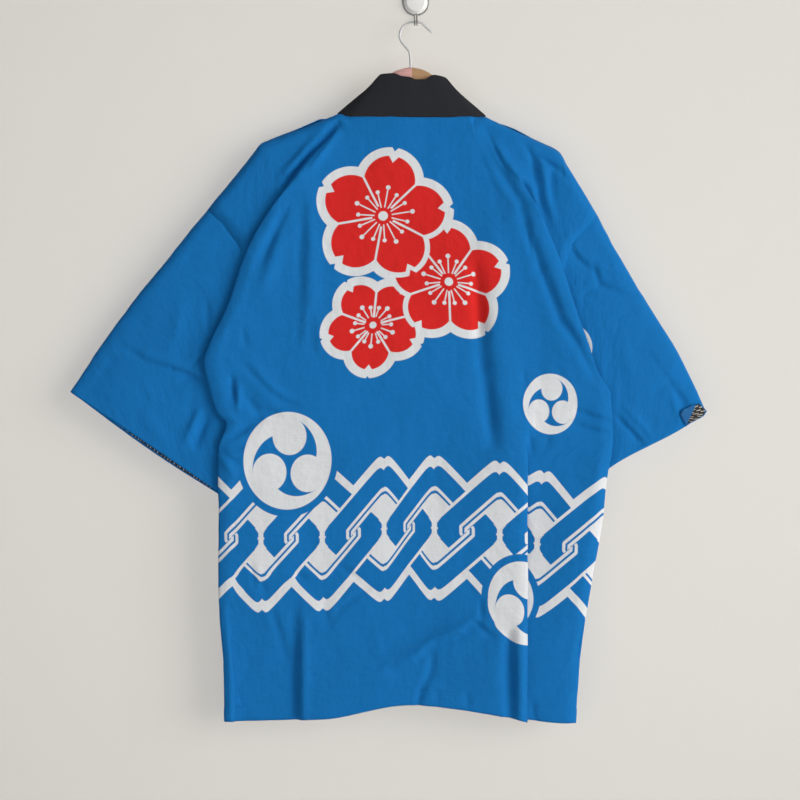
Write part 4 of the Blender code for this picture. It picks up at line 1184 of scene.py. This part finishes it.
def domed(places, radius):
    """The same line with points added close to its ends, for a domed tip."""
    start = (places[0] - places[1]).normalized()
    end = (places[-1] - places[-2]).normalized()
    tip = [places[0], places[0] - start * radius * DOME_REACH, places[0] - start * radius]
    tail = [places[-1] - end * radius, places[-1] - end * radius * DOME_REACH, places[-1]]
    return tip + places[1:-1] + tail


def smooth_path(places):
    """A smooth wire path through some places."""
    return smooth_line([Vector(place) for place in places], (WIRE_SPLIT,) * (len(places) - 1))


def build_hook():
    """The hanger's wire hook."""
    line = smooth_path([(x, HANGER_Y, z) for x, z in HOOK_PATH])
    hook = round_wire("hanger_hook_wire", domed(line, HOOK_WIRE / 2), HOOK_WIRE / 2, HOOK_STEEL)
    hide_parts("hanger_hook")


def ring_places():
    """The wall wire's turn round the plate's foot, open below for its two strands."""
    open_angle = math.asin(HOOK_STRAND_X / RING_RADIUS)
    places = []
    for step in range(RING_STEPS + 1):
        turn = open_angle + (2 * math.pi - 2 * open_angle) * step / RING_STEPS
        ring_z = WALL_HOOK_LIFT - RING_RADIUS * math.cos(turn)
        places.append(Vector((-RING_RADIUS * math.sin(turn), RING_Y, ring_z)))
    return places


def build_wall_wire():
    """One wire, bent round the plate's foot and doubled into a hook below it."""
    strand = smooth_path([(HOOK_STRAND_X, y, z) for y, z in WALL_HOOK_DROP + WALL_HOOK_RISE])
    other = [Vector((-spot.x, spot.y, spot.z)) for spot in reversed(strand)]
    places = ring_places() + strand + [Vector((0.0, *WALL_HOOK_TIP))] + other
    # Its finish is steel darkened as painted shade
    wire = round_wire("wall_hook_wire", places, WALL_WIRE / 2, SHADED_WIRE_STEEL, closed=True)
    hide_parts("wall_wire")


def build_plate():
    """The turned plate on the wall."""
    plate = bmesh.new()
    corners = [plate.verts.new((radius * MM, y * MM, WALL_HOOK_LIFT * MM)) for y, radius in PLATE_PROFILE]
    edges = [plate.edges.new(pair) for pair in zip(corners, corners[1:])]
    bmesh.ops.spin(
        plate, geom=corners + edges, cent=(0, 0, WALL_HOOK_LIFT * MM), axis=(0, 1, 0), angle=2 * math.pi,
        steps=PLATE_SIDES, use_merge=True)
    bmesh.ops.holes_fill(plate, edges=plate.edges, sides=PLATE_SIDES)
    bmesh.ops.recalc_face_normals(plate, faces=plate.faces)
    piece = add_piece("wall_hook_plate", smooth_mesh("wall_hook_plate", plate), WHITE_PLASTIC)
    edge = piece.modifiers.new("soft edges", "BEVEL")
    edge.width = PLATE_EDGE * MM
    edge.segments = 3
    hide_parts("wall_plate")


class Amount:
    """A number that changes over a surface, as the output of a node."""

    def __init__(self, tree, socket):
        self.tree = tree
        self.socket = socket

    def work(self, operation, *others):
        """The result of a math node on this amount and others."""
        node = self.tree.nodes.new("ShaderNodeMath")
        node.operation = operation
        for place, value in zip(node.inputs, (self,) + others):
            set_input(self.tree, place, value)
        return Amount(self.tree, node.outputs[0])

    def __add__(self, other):
        return self.work("ADD", other)

    def __sub__(self, other):
        return self.work("SUBTRACT", other)

    def __mul__(self, other):
        return self.work("MULTIPLY", other)

    def __truediv__(self, other):
        return self.work("DIVIDE", other)

    def __neg__(self):
        return self.work("MULTIPLY", -1.0)

    def __abs__(self):
        return self.work("ABSOLUTE")


def set_input(tree, place, value):
    """Join an amount or a socket to an input, or set the input's own value."""
    if isinstance(value, Amount):
        tree.links.new(value.socket, place)
    elif isinstance(value, bpy.types.NodeSocket):
        tree.links.new(value, place)
    else:
        place.default_value = value


def least(first, *others):
    """The smallest of several amounts."""
    for other in others:
        first = first.work("MINIMUM", other)
    return first


def most(first, *others):
    """The largest of several amounts."""
    for other in others:
        first = first.work("MAXIMUM", other)
    return first


def between(value, low, high):
    """Above 0 where the value lies between two limits."""
    return least(value - low, -(value - high))


def reach_of(first, second):
    """Length of the hypotenuse."""
    return (first * first + second * second).work("SQRT")


def noise_of(tree, x, y, seed, detail=2.0):
    """Uneven noise about 0.5."""
    place = tree.nodes.new("ShaderNodeCombineXYZ")
    for socket, value in zip(place.inputs, (x, y, seed)):
        set_input(tree, socket, value)
    texture = tree.nodes.new("ShaderNodeTexNoise")
    texture.inputs["Scale"].default_value = 1.0
    texture.inputs["Detail"].default_value = detail
    tree.links.new(place.outputs[0], texture.inputs["Vector"])
    return Amount(tree, texture.outputs["Fac"])


def new_group(name, takes, gives):
    """A node group of plain numbers: the tree, its inputs as amounts and its output node."""
    tree = bpy.data.node_groups.new(name, "ShaderNodeTree")
    for label in takes:
        tree.interface.new_socket(label, in_out="INPUT", socket_type="NodeSocketFloat")
    for label in gives:
        tree.interface.new_socket(label, in_out="OUTPUT", socket_type="NodeSocketFloat")
    source = tree.nodes.new("NodeGroupInput")
    return tree, [Amount(tree, source.outputs[label]) for label in takes], tree.nodes.new("NodeGroupOutput")


def use_group(tree, group, values):
    """Place a group and return its outputs as amounts."""
    node = tree.nodes.new("ShaderNodeGroup")
    node.node_tree = group
    for place, value in zip(node.inputs, values):
        set_input(tree, place, value)
    return [Amount(tree, place) for place in node.outputs]


# The print, in millimetres from the middle of the back and below the shoulder
CHAIN_PITCH = 90.0
CHAIN_START = 32.1
CHAIN_DROP = 579.0
CREST_TURN = 88.0
CREST_RING = 10.0
Crest = namedtuple("Crest", "across drop radius squeeze")
BACK_CRESTS = (
    Crest(-169.5, 473.0, 67.0, 0.90), Crest(195.5, 394.0, 41.5, 0.90), Crest(158.4, 668.0, 57.0, 0.92),
)
SLEEVE_CREST = Crest(211.0, 477.0, 33.0, 0.95)
Blossom = namedtuple("Blossom", "across drop radius turn")
BLOSSOMS = (
    Blossom(-38.0, 140.0, 88.0, 80.0), Blossom(52.0, 232.0, 78.0, 20.0), Blossom(-52.0, 292.0, 64.0, 48.0),
)
BLOSSOM_EDGE = 12.0
BLOSSOM_GAP = 7.0
INK_EDGE = 0.8


# Half a link of the chain. Its slopes are measured from the neck where two links meet
OUTER_TIP = (4.5, 6.0, 3.5)
INNER_TIP = (3.0, 0.0, 1.2)
NOTCH_RUN = 4.5
THICK_FROM = 98.0
THICK_TO = 112.0
THIN_FROM = 96.3
THIN_TO = 102.1
INNER_FROM = 57.2
INNER_TO = 63.0
CORE_TO = 53.2
FAR_CORE_TO = 54.3
# The neck, narrow at its waist, and the bar across it
WAIST = 6.7
WAIST_ROUND = 7.0
NECK_HALF = 3.6
NECK_REACH = 14.0
BAR_REACH = 4.9
BAR_HALF = 1.4
# The white line with a blue core that runs up from the neck and on along the slope
LINE_X = -5.0
LINE_LOW = -3.2
LINE_HIGH = 3.9
LINE_TO = 5.6
LINE_CORE = 1.45
DIAGONAL = 0.7071
# Keeps a place exactly on the fold line on one side of it
FOLD_NUDGE = 0.0001


def slope_distance(run, y, tip):
    """Distance down a link's slope, which is blunt and notched at its tip."""
    blunt, lobe, notch = tip
    dip = most(-(run / NOTCH_RUN - 1.0), 0.0) * notch
    past = most(run - lobe, 0.0)
    return y + (past * past + blunt * blunt).work("SQRT") + lobe + dip


def link_bands(outer_near, outer_far, inner_near):
    """The bands of half a link: thick, thin, and what its far slope leaves of the near one."""
    thick_near = between(outer_near, THICK_FROM, THICK_TO)
    thick_far = least(between(outer_far, THIN_FROM, THICK_TO), outer_near - THICK_FROM)
    thin_far = between(outer_far, THIN_FROM, THIN_TO)
    under = most(thick_near, between(inner_near, INNER_FROM, INNER_TO), -(inner_near - CORE_TO))
    return thick_far, thin_far, least(outer_far - THIN_FROM, under)


def link_neck(near, y):
    """The neck that flares above and below its waist, with its bar."""
    waist = abs(y) - WAIST
    flare = most((waist + (waist * waist + WAIST_ROUND ** 2).work("SQRT")) * 0.5, NECK_HALF)
    neck = least(flare - near, -(abs(y) - NECK_REACH))
    return most(neck, least(-(near - BAR_REACH), -(abs(y) - BAR_HALF)))


def link_lines(x, y, inner_far, next_window):
    """The line with a blue core, and the window of the next link."""
    drop = y - y.work("MAXIMUM", LINE_LOW).work("MINIMUM", LINE_HIGH)
    upright = reach_of(x - LINE_X, drop)
    along = least(((x - LINE_X) + (y - LINE_HIGH)) * DIAGONAL, 0.0)
    slant = reach_of((inner_far - FAR_CORE_TO) * DIAGONAL, along)
    gap = least(upright, slant)
    return least(most(-(gap - LINE_TO), next_window), gap - LINE_CORE)


def chain_group():
    """The chain of linked diamonds: above 0 where it is white, in millimetres from a link's neck.

    Each half of a link repeats the other turned half round, so both are folded onto one.
    """
    tree, (across, up), result = new_group("linked diamond chain", ("Across", "Up"), ("White",))
    half = CHAIN_PITCH / 2
    x = across.work("FLOORED_MODULO", CHAIN_PITCH) - half
    side = ((up - x) + FOLD_NUDGE).work("SIGN")
    x = x * side
    y = up * side
    near = x + half
    far = -(x - half)
    outer_near = slope_distance(near, y, OUTER_TIP)
    outer_far = slope_distance(far, y, OUTER_TIP)
    inner_near = slope_distance(near, y, INNER_TIP)
    inner_far = slope_distance(far, y, INNER_TIP)
    window = -(y + near + WAIST)
    next_window = least(y + near - THIN_FROM, -(inner_far - FAR_CORE_TO))
    lines = link_lines(x, y, inner_far, next_window)
    inside = least(-(outer_far - THIN_FROM), most(link_neck(near, y), window, lines))
    white = most(*link_bands(outer_near, outer_far, inner_near), inside)
    tree.links.new(white.socket, result.inputs["White"])
    return tree


# A crest's commas, in shares of its radius: how far the ring is off centre, each head and each tail
COMMA_OFFSET = 0.03
HEAD_REACH = 0.50
HEAD_RADIUS = 0.385
TAIL_START = 0.50
TAIL_END = 0.872
TAIL_GROWTH = 0.0033
COMMA_TURN = 120.0


def turn_within(turn, span):
    """A turn in degrees as an angle from the middle of its own part of the round, in radians."""
    return ((turn + span / 2).work("FLOORED_MODULO", span) - span / 2).work("RADIANS")


def crest_group():
    """A crest of three commas in a ring: above 0 where it is white, and its whole disc."""
    tree, (across, up, radius), result = new_group(
        "three comma crest", ("Across", "Up", "Radius"), ("White", "Disc"))
    disc = radius - reach_of(across, up)
    inner = across - radius * COMMA_OFFSET
    reach = reach_of(inner, up) / radius
    turn = up.work("ARCTAN2", inner).work("DEGREES") - CREST_TURN
    third = turn.work("FLOORED_MODULO", COMMA_TURN)
    angle = turn_within(turn, COMMA_TURN)
    off_head = reach_of(reach * angle.work("COSINE") - HEAD_REACH, reach * angle.work("SINE"))
    tail = least(third * TAIL_GROWTH + TAIL_START, TAIL_END)
    blade = least(tail - reach, off_head - HEAD_RADIUS) * radius
    white = least(disc, -blade)
    tree.links.new(white.socket, result.inputs["White"])
    tree.links.new(disc.socket, result.inputs["Disc"])
    return tree


# A blossom, in shares of its radius: its petals with the notch at their tips, and its heart
PETAL_REACH = 0.57
PETAL_RADIUS = 0.40
NOTCH_REACH = 0.86
NOTCH_SLOPE = 0.75
MIDDLE_RADIUS = 0.3
HEART_RADIUS = 0.075
PETAL_TURN = 72.0
# Sine and cosine of half a petal's turn, and of a leaning stamen's turn
HALF_SINE = 0.5878
HALF_COSINE = 0.8090
LEAN_SINE = 0.385
LEAN_COSINE = 0.923
# The white joints between petals, and the upright and leaning stamens with their beads.
# Reaches are shares of the radius, and widths are in millimetres
JOINT_FROM = 0.17
JOINT_HALF = 1.5
STALK_FROM = 12.0
STALK_TO = 0.42
STALK_HALF = 0.9
BEAD_REACH = 0.46
BEAD_RADIUS = 3.2
LEAN_STALK_TO = 0.36
LEAN_BEAD = (0.36, 0.15)
LEAN_BEAD_RADIUS = 2.8


def blossom_lines(x, y, reach, radius):
    """The white lines of a blossom: joints, stamens and heart."""
    joint = least(-(abs(x * HALF_SINE - y * HALF_COSINE) - JOINT_HALF), reach - radius * JOINT_FROM)
    stalk = least(-(y - STALK_HALF), x - STALK_FROM, -(x - radius * STALK_TO))
    bead = -(reach_of(x - radius * BEAD_REACH, y) - BEAD_RADIUS)
    bead_x, bead_y = LEAN_BEAD
    lean_bead = -(reach_of(x - radius * bead_x, y - radius * bead_y) - LEAN_BEAD_RADIUS)
    off_lean = abs(x * LEAN_SINE - y * LEAN_COSINE) - STALK_HALF
    lean_stalk = least(-off_lean, reach - STALK_FROM, -(reach - radius * LEAN_STALK_TO))
    return most(joint, stalk, bead, lean_bead, lean_stalk, radius * HEART_RADIUS - reach)


def blossom_group():
    """A five-petalled blossom: above 0 on its petals, and above 0 on its white lines."""
    tree, (across, up, radius, turned), result = new_group(
        "five petalled blossom", ("Across", "Up", "Radius", "Turn"), ("Petals", "Lines"))
    reach = reach_of(across, up)
    angle = turn_within(up.work("ARCTAN2", across).work("DEGREES") - turned, PETAL_TURN)
    x = reach * angle.work("COSINE")
    y = abs(reach * angle.work("SINE"))
    petal = radius * PETAL_RADIUS - reach_of(x - radius * PETAL_REACH, y)
    notch = (x - radius * NOTCH_REACH) * NOTCH_SLOPE - y
    petals = least(most(petal, radius * MIDDLE_RADIUS - reach), -notch)
    tree.links.new(petals.socket, result.inputs["Petals"])
    tree.links.new(blossom_lines(x, y, reach, radius).socket, result.inputs["Lines"])
    return tree


# The weave: how closely fibres, pale clouds and crumples follow each other, and how much each shows
THREAD_PITCH = 0.9
THREAD_HEIGHT = 0.02
FIBRE_ACROSS = 0.55
FIBRE_ALONG = 0.03
FIBRE_TONE = 0.10
FIBRE_HEIGHT = 0.10
CLOUD_ACROSS = 0.012
CLOUD_DOWN = 0.009
CLOUD_TONE = 0.10
CRUMPLE_ACROSS = 0.075
CRUMPLE_DOWN = 0.06
CRUMPLE_HEIGHT = 1.6


def cotton_group():
    """Plain woven cotton: how light it is, about 1, and how high its threads stand, in millimetres."""
    tree, (u, v), result = new_group("plain cotton weave", ("Across", "Down"), ("Tone", "Height"))
    warp = noise_of(tree, u * FIBRE_ACROSS, v * FIBRE_ALONG, seed=3.0) - 0.5
    weft = noise_of(tree, u * FIBRE_ALONG, v * FIBRE_ACROSS, seed=9.0) - 0.5
    cloud = noise_of(tree, u * CLOUD_ACROSS, v * CLOUD_DOWN, seed=17.0) - 0.5
    crumple = noise_of(tree, u * CRUMPLE_ACROSS, v * CRUMPLE_DOWN, seed=29.0, detail=4.0) - 0.5
    over = (u * (math.tau / THREAD_PITCH)).work("SINE") * (v * (math.tau / THREAD_PITCH)).work("SINE")
    tone = (warp + weft) * FIBRE_TONE + cloud * CLOUD_TONE + 1.0
    threads = over * THREAD_HEIGHT + (warp + weft) * FIBRE_HEIGHT
    height = threads + crumple * CRUMPLE_HEIGHT
    tree.links.new(tone.socket, result.inputs["Tone"])
    tree.links.new(height.socket, result.inputs["Height"])
    return tree


# Brush strokes of the cuff facing: their slant, how far apart they are, and their size
STROKE_COSINE = 0.80
STROKE_SINE = 0.60
STROKE_APART = 4.6
STROKE_PITCH = 10.5
STROKE_SLIDE = 3.7
STROKE_LONG = 7.0
STROKE_WIDE = 1.1
STROKE_LEAN = 0.3
STROKE_NOISE = 0.5
STROKE_ROUGH = 1.5


def facing_group():
    """Short slanting brush strokes of the cuff facing: above 0 where they are pale."""
    tree, (u, v), result = new_group("brush stroke print", ("Across", "Down"), ("Pale",))
    x = u * STROKE_COSINE + v * STROKE_SINE
    y = v * STROKE_COSINE - u * STROKE_SINE
    line = (y / STROKE_APART).work("FLOOR")
    slid = x + (line * STROKE_SLIDE).work("SINE") * STROKE_PITCH
    place = slid.work("FLOORED_MODULO", STROKE_PITCH) - STROKE_PITCH / 2
    row = (y - line * STROKE_APART) - STROKE_APART / 2
    off_line = abs(row + place * STROKE_LEAN)
    stroke = least(-(abs(place) - STROKE_LONG / 2), -(off_line - STROKE_WIDE / 2))
    rough = noise_of(tree, u * STROKE_NOISE, v * STROKE_NOISE, seed=4.0) - 0.5
    tree.links.new((stroke + rough * STROKE_ROUGH).socket, result.inputs["Pale"])
    return tree


# Colours, and how little cloth shines
BLUE = (0.0060, 0.1480, 0.4250, 1.0)
WHITE = (0.66, 0.68, 0.70, 1.0)
RED = (0.62, 0.020, 0.018, 1.0)
FACING_BLACK = (0.018, 0.017, 0.016, 1.0)
FACING_PALE = (0.58, 0.54, 0.48, 1.0)
COLLAR_BLACK = (0.021, 0.022, 0.026, 1.0)
THREAD_BLUE = (0.010, 0.12, 0.35, 1.0)
PALE_STEEL = (0.56, 0.57, 0.58, 1.0)
# The wall wire's steel: the hook's steel darkened, as painted shade on its strands
SHADED_STEEL = (0.26, 0.27, 0.26, 1.0)
PLATE_WHITE = (0.80, 0.80, 0.78, 1.0)
HANGER_PINK = (0.72, 0.39, 0.36, 1.0)
HANGER_BROWN = (0.44, 0.26, 0.135, 1.0)
CLOTH_SHINE = 0.12


def new_material(name, colour, roughness, metallic=0.0, shine=0.5):
    """A material, its node tree and its shader."""
    finish = bpy.data.materials.new(name)
    finish.use_nodes = True
    shader = finish.node_tree.nodes["Principled BSDF"]
    shader.inputs["Base Color"].default_value = colour
    shader.inputs["Roughness"].default_value = roughness
    shader.inputs["Metallic"].default_value = metallic
    shader.inputs["Specular IOR Level"].default_value = shine
    return finish, finish.node_tree, shader


def flat_place(tree, label):
    """A cloth's own map as two amounts in millimetres."""
    source = tree.nodes.new("ShaderNodeUVMap")
    source.uv_map = label
    parts = tree.nodes.new("ShaderNodeSeparateXYZ")
    tree.links.new(source.outputs[0], parts.inputs[0])
    return [Amount(tree, parts.outputs[axis]) * MM_PER_METRE for axis in range(2)]


def ink(edge):
    """A mask with a slightly soft edge from a distance into a printed shape."""
    return (edge / INK_EDGE + 0.5).work("MAXIMUM", 0.0).work("MINIMUM", 1.0)


# Where a mix node keeps its two colours and its mixed one
MIX_FIRST = 6
MIX_SECOND = 7
MIX_RESULT = 2


def blend_colour(tree, share, first, second):
    """A colour some share of the way between two others."""
    node = tree.nodes.new("ShaderNodeMix")
    node.data_type = "RGBA"
    set_input(tree, node.inputs[0], share)
    set_input(tree, node.inputs[MIX_FIRST], first)
    set_input(tree, node.inputs[MIX_SECOND], second)
    return node.outputs[MIX_RESULT]


def dress(tree, shader, colour, tone, height, depth=1.0):
    """Join a colour, darkened or lightened by its tone, and a bump of some millimetres to the shader."""
    scaled = tree.nodes.new("ShaderNodeVectorMath")
    scaled.operation = "SCALE"
    set_input(tree, scaled.inputs[0], colour[:3] if isinstance(colour, tuple) else colour)
    set_input(tree, scaled.inputs["Scale"], tone)
    tree.links.new(scaled.outputs[0], shader.inputs["Base Color"])
    bump = tree.nodes.new("ShaderNodeBump")
    bump.inputs["Strength"].default_value = 1.0
    bump.inputs["Distance"].default_value = depth * MM
    set_input(tree, bump.inputs["Height"], height)
    tree.links.new(bump.outputs[0], shader.inputs["Normal"])


def joined(first, second):
    """Two marks as one; the first may be missing."""
    return second if first is None else most(first, second)


def crest_marks(tree, u, v, crests):
    """The white of the crests, and their whole discs."""
    white = None
    discs = None
    for crest in crests:
        place = ((u - crest.across) / crest.squeeze, -(v - crest.drop), crest.radius)
        mark, disc = use_group(tree, CREST, place)
        white = joined(white, mark)
        discs = joined(discs, disc)
    return white, discs


def chain_marks(tree, discs):
    """The white of the chain, which stops short of the crests."""
    u, v = flat_place(tree, "print")
    links = use_group(tree, CHAIN, (u - CHAIN_START, -(v - CHAIN_DROP)))[0]
    return links if discs is None else least(links, -(discs + CREST_RING))


def blossom_marks(tree, u, v, blossoms):
    """The red of the blossoms, each partly hidden by those before it, and all their petals."""
    red = None
    above = None
    for blossom in blossoms:
        place = (u - blossom.across, -(v - blossom.drop), blossom.radius, blossom.turn)
        petals, lines = use_group(tree, BLOSSOM, place)
        mark = least(petals, -lines)
        if above is not None:
            mark = least(mark, -(above + BLOSSOM_GAP))
        red = joined(red, mark)
        above = joined(above, petals)
    return red, above


def printed_cotton(name, crests, chain=False, blossoms=(), crest_map="cloth"):
    """Blue cotton with its print in white and red."""
    finish, tree, shader = new_material(name, BLUE, roughness=0.9, shine=CLOTH_SHINE)
    tone, height = use_group(tree, COTTON, flat_place(tree, "cloth"))
    u, v = flat_place(tree, crest_map)
    white, discs = crest_marks(tree, u, v, crests)
    if chain:
        white = joined(white, chain_marks(tree, discs))
    red, petals = blossom_marks(tree, u, v, blossoms)
    if petals is not None:
        white = joined(white, petals + BLOSSOM_EDGE)
    colour = BLUE
    if white is not None:
        colour = blend_colour(tree, ink(white), BLUE, WHITE)
    if red is not None:
        colour = blend_colour(tree, ink(red), colour, RED)
    dress(tree, shader, colour, tone, height)
    return finish


def object_place(tree):
    """A place on a piece as three amounts in millimetres."""
    source = tree.nodes.new("ShaderNodeTexCoord")
    parts = tree.nodes.new("ShaderNodeSeparateXYZ")
    tree.links.new(source.outputs["Object"], parts.inputs[0])
    return [Amount(tree, parts.outputs[axis]) * MM_PER_METRE for axis in range(3)]


def plain_cotton(name, colour):
    """Cotton of one colour."""
    finish, tree, shader = new_material(name, colour, roughness=0.9, shine=CLOTH_SHINE)
    x, _, z = object_place(tree)
    tone, height = use_group(tree, COTTON, (x, z))
    dress(tree, shader, colour, tone, height, depth=0.5)
    return finish


# The facing's edge on the folded corner: a place on it, and its direction towards the print
STRIP_EDGE_X = 383.7
STRIP_EDGE_DOWN = 558.4
STRIP_TURN_X = 0.90
STRIP_TURN_DOWN = 0.43
CORNER_RIM = 1.6
# The folded corner's blue cloth: the sleeve's blue darkened, as painted shade
SHADED_CORNER_BLUE = (0.0055, 0.118, 0.330, 1.0)


def facing_print(name, folded=False):
    """Black cotton with pale brush strokes; on the folded corner, blue cloth past the strip, darkened as
    painted shade.
    """
    finish, tree, shader = new_material(name, FACING_BLACK, roughness=0.85)
    u, v = flat_place(tree, "cloth")
    tone, height = use_group(tree, COTTON, (u, v))
    pale = use_group(tree, STROKES, (u, v))[0]
    colour = blend_colour(tree, ink(pale), FACING_BLACK, FACING_PALE)
    if folded:
        x, down = flat_place(tree, "print")
        past = (x - STRIP_EDGE_X) * STRIP_TURN_X + (down - STRIP_EDGE_DOWN) * STRIP_TURN_DOWN
        # Past the strip the corner shows blue cloth, darkened as painted shade
        colour = blend_colour(tree, ink(most(-past, -(u - CORNER_RIM))), colour, SHADED_CORNER_BLUE)
    dress(tree, shader, colour, tone, height)
    return finish


# The hanger's wood: where its two colours meet, how close its grain is each way, and how much that shows
HANGER_JOIN_X = -5.5
GRAIN_ALONG = 0.02
GRAIN_UP = 0.5
GRAIN_ACROSS = 0.3
GRAIN_TONE = 0.30
GRAIN_HEIGHT = 0.1


def two_tone_wood(name):
    """The hanger's paint, pink on its left arm and brown on its right."""
    finish, tree, shader = new_material(name, HANGER_BROWN, roughness=0.45)
    x, y, z = object_place(tree)
    grain = noise_of(tree, x * GRAIN_ALONG, z * GRAIN_UP + y * GRAIN_ACROSS, seed=2.0, detail=5.0)
    colour = blend_colour(tree, ink(x - HANGER_JOIN_X), HANGER_PINK, HANGER_BROWN)
    dress(tree, shader, colour, grain * GRAIN_TONE + (1.0 - GRAIN_TONE / 2), grain * GRAIN_HEIGHT)
    return finish


CHAIN = chain_group()
CREST = crest_group()
BLOSSOM = blossom_group()
COTTON = cotton_group()
STROKES = facing_group()
BACK_PRINT = printed_cotton("printed cotton back", BACK_CRESTS, chain=True, blossoms=BLOSSOMS)
FRONT_PRINT = printed_cotton("printed cotton front", (), chain=True)
SLEEVE_PRINT = printed_cotton("printed cotton sleeve", (SLEEVE_CREST,), crest_map="print")
SLEEVE_COTTON = printed_cotton("blue cotton sleeve", ())
BLACK_COTTON = plain_cotton("black cotton", COLLAR_BLACK)
BLUE_THREAD = new_material("blue thread", THREAD_BLUE, roughness=0.8, shine=CLOTH_SHINE)[0]
FACING_PRINT = facing_print("facing print")
CORNER_PRINT = facing_print("facing print at the folded corner", folded=True)
HANGER_WOOD = two_tone_wood("hanger wood")
HOOK_STEEL = new_material("hook steel", PALE_STEEL, roughness=0.55, metallic=0.3)[0]
# Darker than the hook's steel: painted shade
SHADED_WIRE_STEEL = new_material("wall wire steel with painted shade", SHADED_STEEL, roughness=0.50, metallic=0.6)[0]
WHITE_PLASTIC = new_material("white plastic", PLATE_WHITE, roughness=0.35)[0]


# Stage, in metres: half the width of its wall and of its floor, and where they stand
WALL_HALF = 2.2
WALL_Y = 0.001
FLOOR_HALF = 3.0
FLOOR_Z = -1.4
WALL_PAINT = (0.312, 0.303, 0.284, 1.0)
FLOOR_PAINT = (0.38, 0.375, 0.362, 1.0)

# Lights, which all face one place on the jacket
Lamp = namedtuple("Lamp", "name place size power colour")
LAMPS = (
    Lamp("window", (5.3, -3.7, 0.2), 4.6, 430, (1.0, 0.985, 0.96)),
    Lamp("room", (-1.6, -3.2, -1.0), 1.6, 12, (1.0, 0.98, 0.95)),
    Lamp("behind", (0.6, 2.4, 0.6), 2.2, 45, (1.0, 1.0, 1.0)),
    Lamp("floor bounce", (-0.1, -1.6, -1.75), 1.4, 20, (1.0, 1.0, 1.0)),
)
BACKGROUND_LAMP = Lamp("background", (0.3, -3.4, -1.2), 1.6, 240, (1.0, 1.0, 1.0))
LIT_PLACE = (0.0, 0.0, -0.5)
SKY_COLOUR = (0.95, 0.97, 1.0, 1.0)
SKY_STRENGTH = 0.24

# Camera, in metres: where it stands, and how wide the picture is at a distance
CAMERA_PLACE = (-0.0219, -2.6, -0.549)
SENSOR_WIDTH = 36.0
PICTURE_AWAY = 2.55
PICTURE_WIDTH = 1.096


def stage_sheet(name, size, turn, place, finish):
    """A flat square of the stage."""
    mesh = bpy.data.meshes.new(name)
    sheet = bmesh.new()
    bmesh.ops.create_grid(sheet, x_segments=1, y_segments=1, size=size)
    bmesh.ops.rotate(sheet, verts=sheet.verts, cent=(0, 0, 0), matrix=Matrix.Rotation(turn, 3, "X"))
    bmesh.ops.translate(sheet, verts=sheet.verts, vec=place)
    sheet.to_mesh(mesh)
    sheet.free()
    piece = bpy.data.objects.new(name, mesh)
    bpy.context.scene.collection.objects.link(piece)
    mesh.materials.append(finish)
    return piece


def wall_paint():
    """Paint that shows from the front only, so that the jacket can be seen from the wall's side."""
    paint, tree, shader = new_material("wall paint", WALL_PAINT, roughness=0.9)
    geometry = tree.nodes.new("ShaderNodeNewGeometry")
    clear = tree.nodes.new("ShaderNodeBsdfTransparent")
    mix = tree.nodes.new("ShaderNodeMixShader")
    tree.links.new(geometry.outputs["Backfacing"], mix.inputs[0])
    tree.links.new(shader.outputs[0], mix.inputs[1])
    tree.links.new(clear.outputs[0], mix.inputs[2])
    tree.links.new(mix.outputs[0], tree.nodes["Material Output"].inputs["Surface"])
    return paint


def build_stage():
    """The wall and the floor, and a collection that holds both."""
    wall = stage_sheet("wall", WALL_HALF, math.pi / 2, (0, WALL_Y, FLOOR_Z + WALL_HALF), wall_paint())
    wall.visible_shadow = False
    floor_paint = new_material("floor paint", FLOOR_PAINT, roughness=0.8)[0]
    floor = stage_sheet("floor", FLOOR_HALF, 0.0, (0, 0, FLOOR_Z), floor_paint)
    stage = bpy.data.collections.new("stage")
    stage.objects.link(wall)
    stage.objects.link(floor)
    return stage


def add_light(lamp):
    """A square light that faces the jacket."""
    data = bpy.data.lights.new(lamp.name, "AREA")
    data.shape = "SQUARE"
    data.size = lamp.size
    data.energy = lamp.power
    data.color = lamp.colour
    light = bpy.data.objects.new(lamp.name, data)
    light.location = lamp.place
    light.rotation_euler = (Vector(LIT_PLACE) - Vector(lamp.place)).to_track_quat("-Z", "Y").to_euler()
    bpy.context.scene.collection.objects.link(light)
    return light


def build_light(stage):
    """A big soft window at the right, weak fill, and a background light that reaches the wall alone."""
    world = bpy.data.worlds.new("studio")
    world.use_nodes = True
    sky = world.node_tree.nodes["Background"]
    sky.inputs["Color"].default_value = SKY_COLOUR
    sky.inputs["Strength"].default_value = SKY_STRENGTH
    bpy.context.scene.world = world
    for lamp in LAMPS:
        add_light(lamp)
    background = add_light(BACKGROUND_LAMP)
    background.light_linking.receiver_collection = stage
    background.light_linking.blocker_collection = stage
    bpy.context.scene.view_settings.view_transform = "Standard"


def build_camera():
    """Straight at the wall from the middle of the picture, as wide as the photograph."""
    data = bpy.data.cameras.new("camera")
    data.sensor_width = SENSOR_WIDTH
    data.lens = SENSOR_WIDTH * PICTURE_AWAY / PICTURE_WIDTH
    camera = bpy.data.objects.new("camera", data)
    camera.location = CAMERA_PLACE
    camera.rotation_euler = (math.pi / 2, 0, 0)
    bpy.context.scene.collection.objects.link(camera)
    bpy.context.scene.camera = camera


build_light(build_stage())
build_camera()
build_hanger()
build_back()
build_front("jacket_front_left", "front_left", LEFT)
build_front("jacket_front_right", "front_right", RIGHT)
build_sleeve("jacket_sleeve_left", "sleeve_left", LEFT, SLEEVE_COTTON)
build_sleeve("jacket_sleeve_right", "sleeve_right", RIGHT, SLEEVE_PRINT)
build_facing("cuff_facing_print_left", "cuff_facing_left", LEFT)
build_facing("cuff_facing_print_right", "cuff_facing_right", RIGHT)
build_cuff_corner()
build_collar()
build_hook()
build_wall_wire()
build_plate()
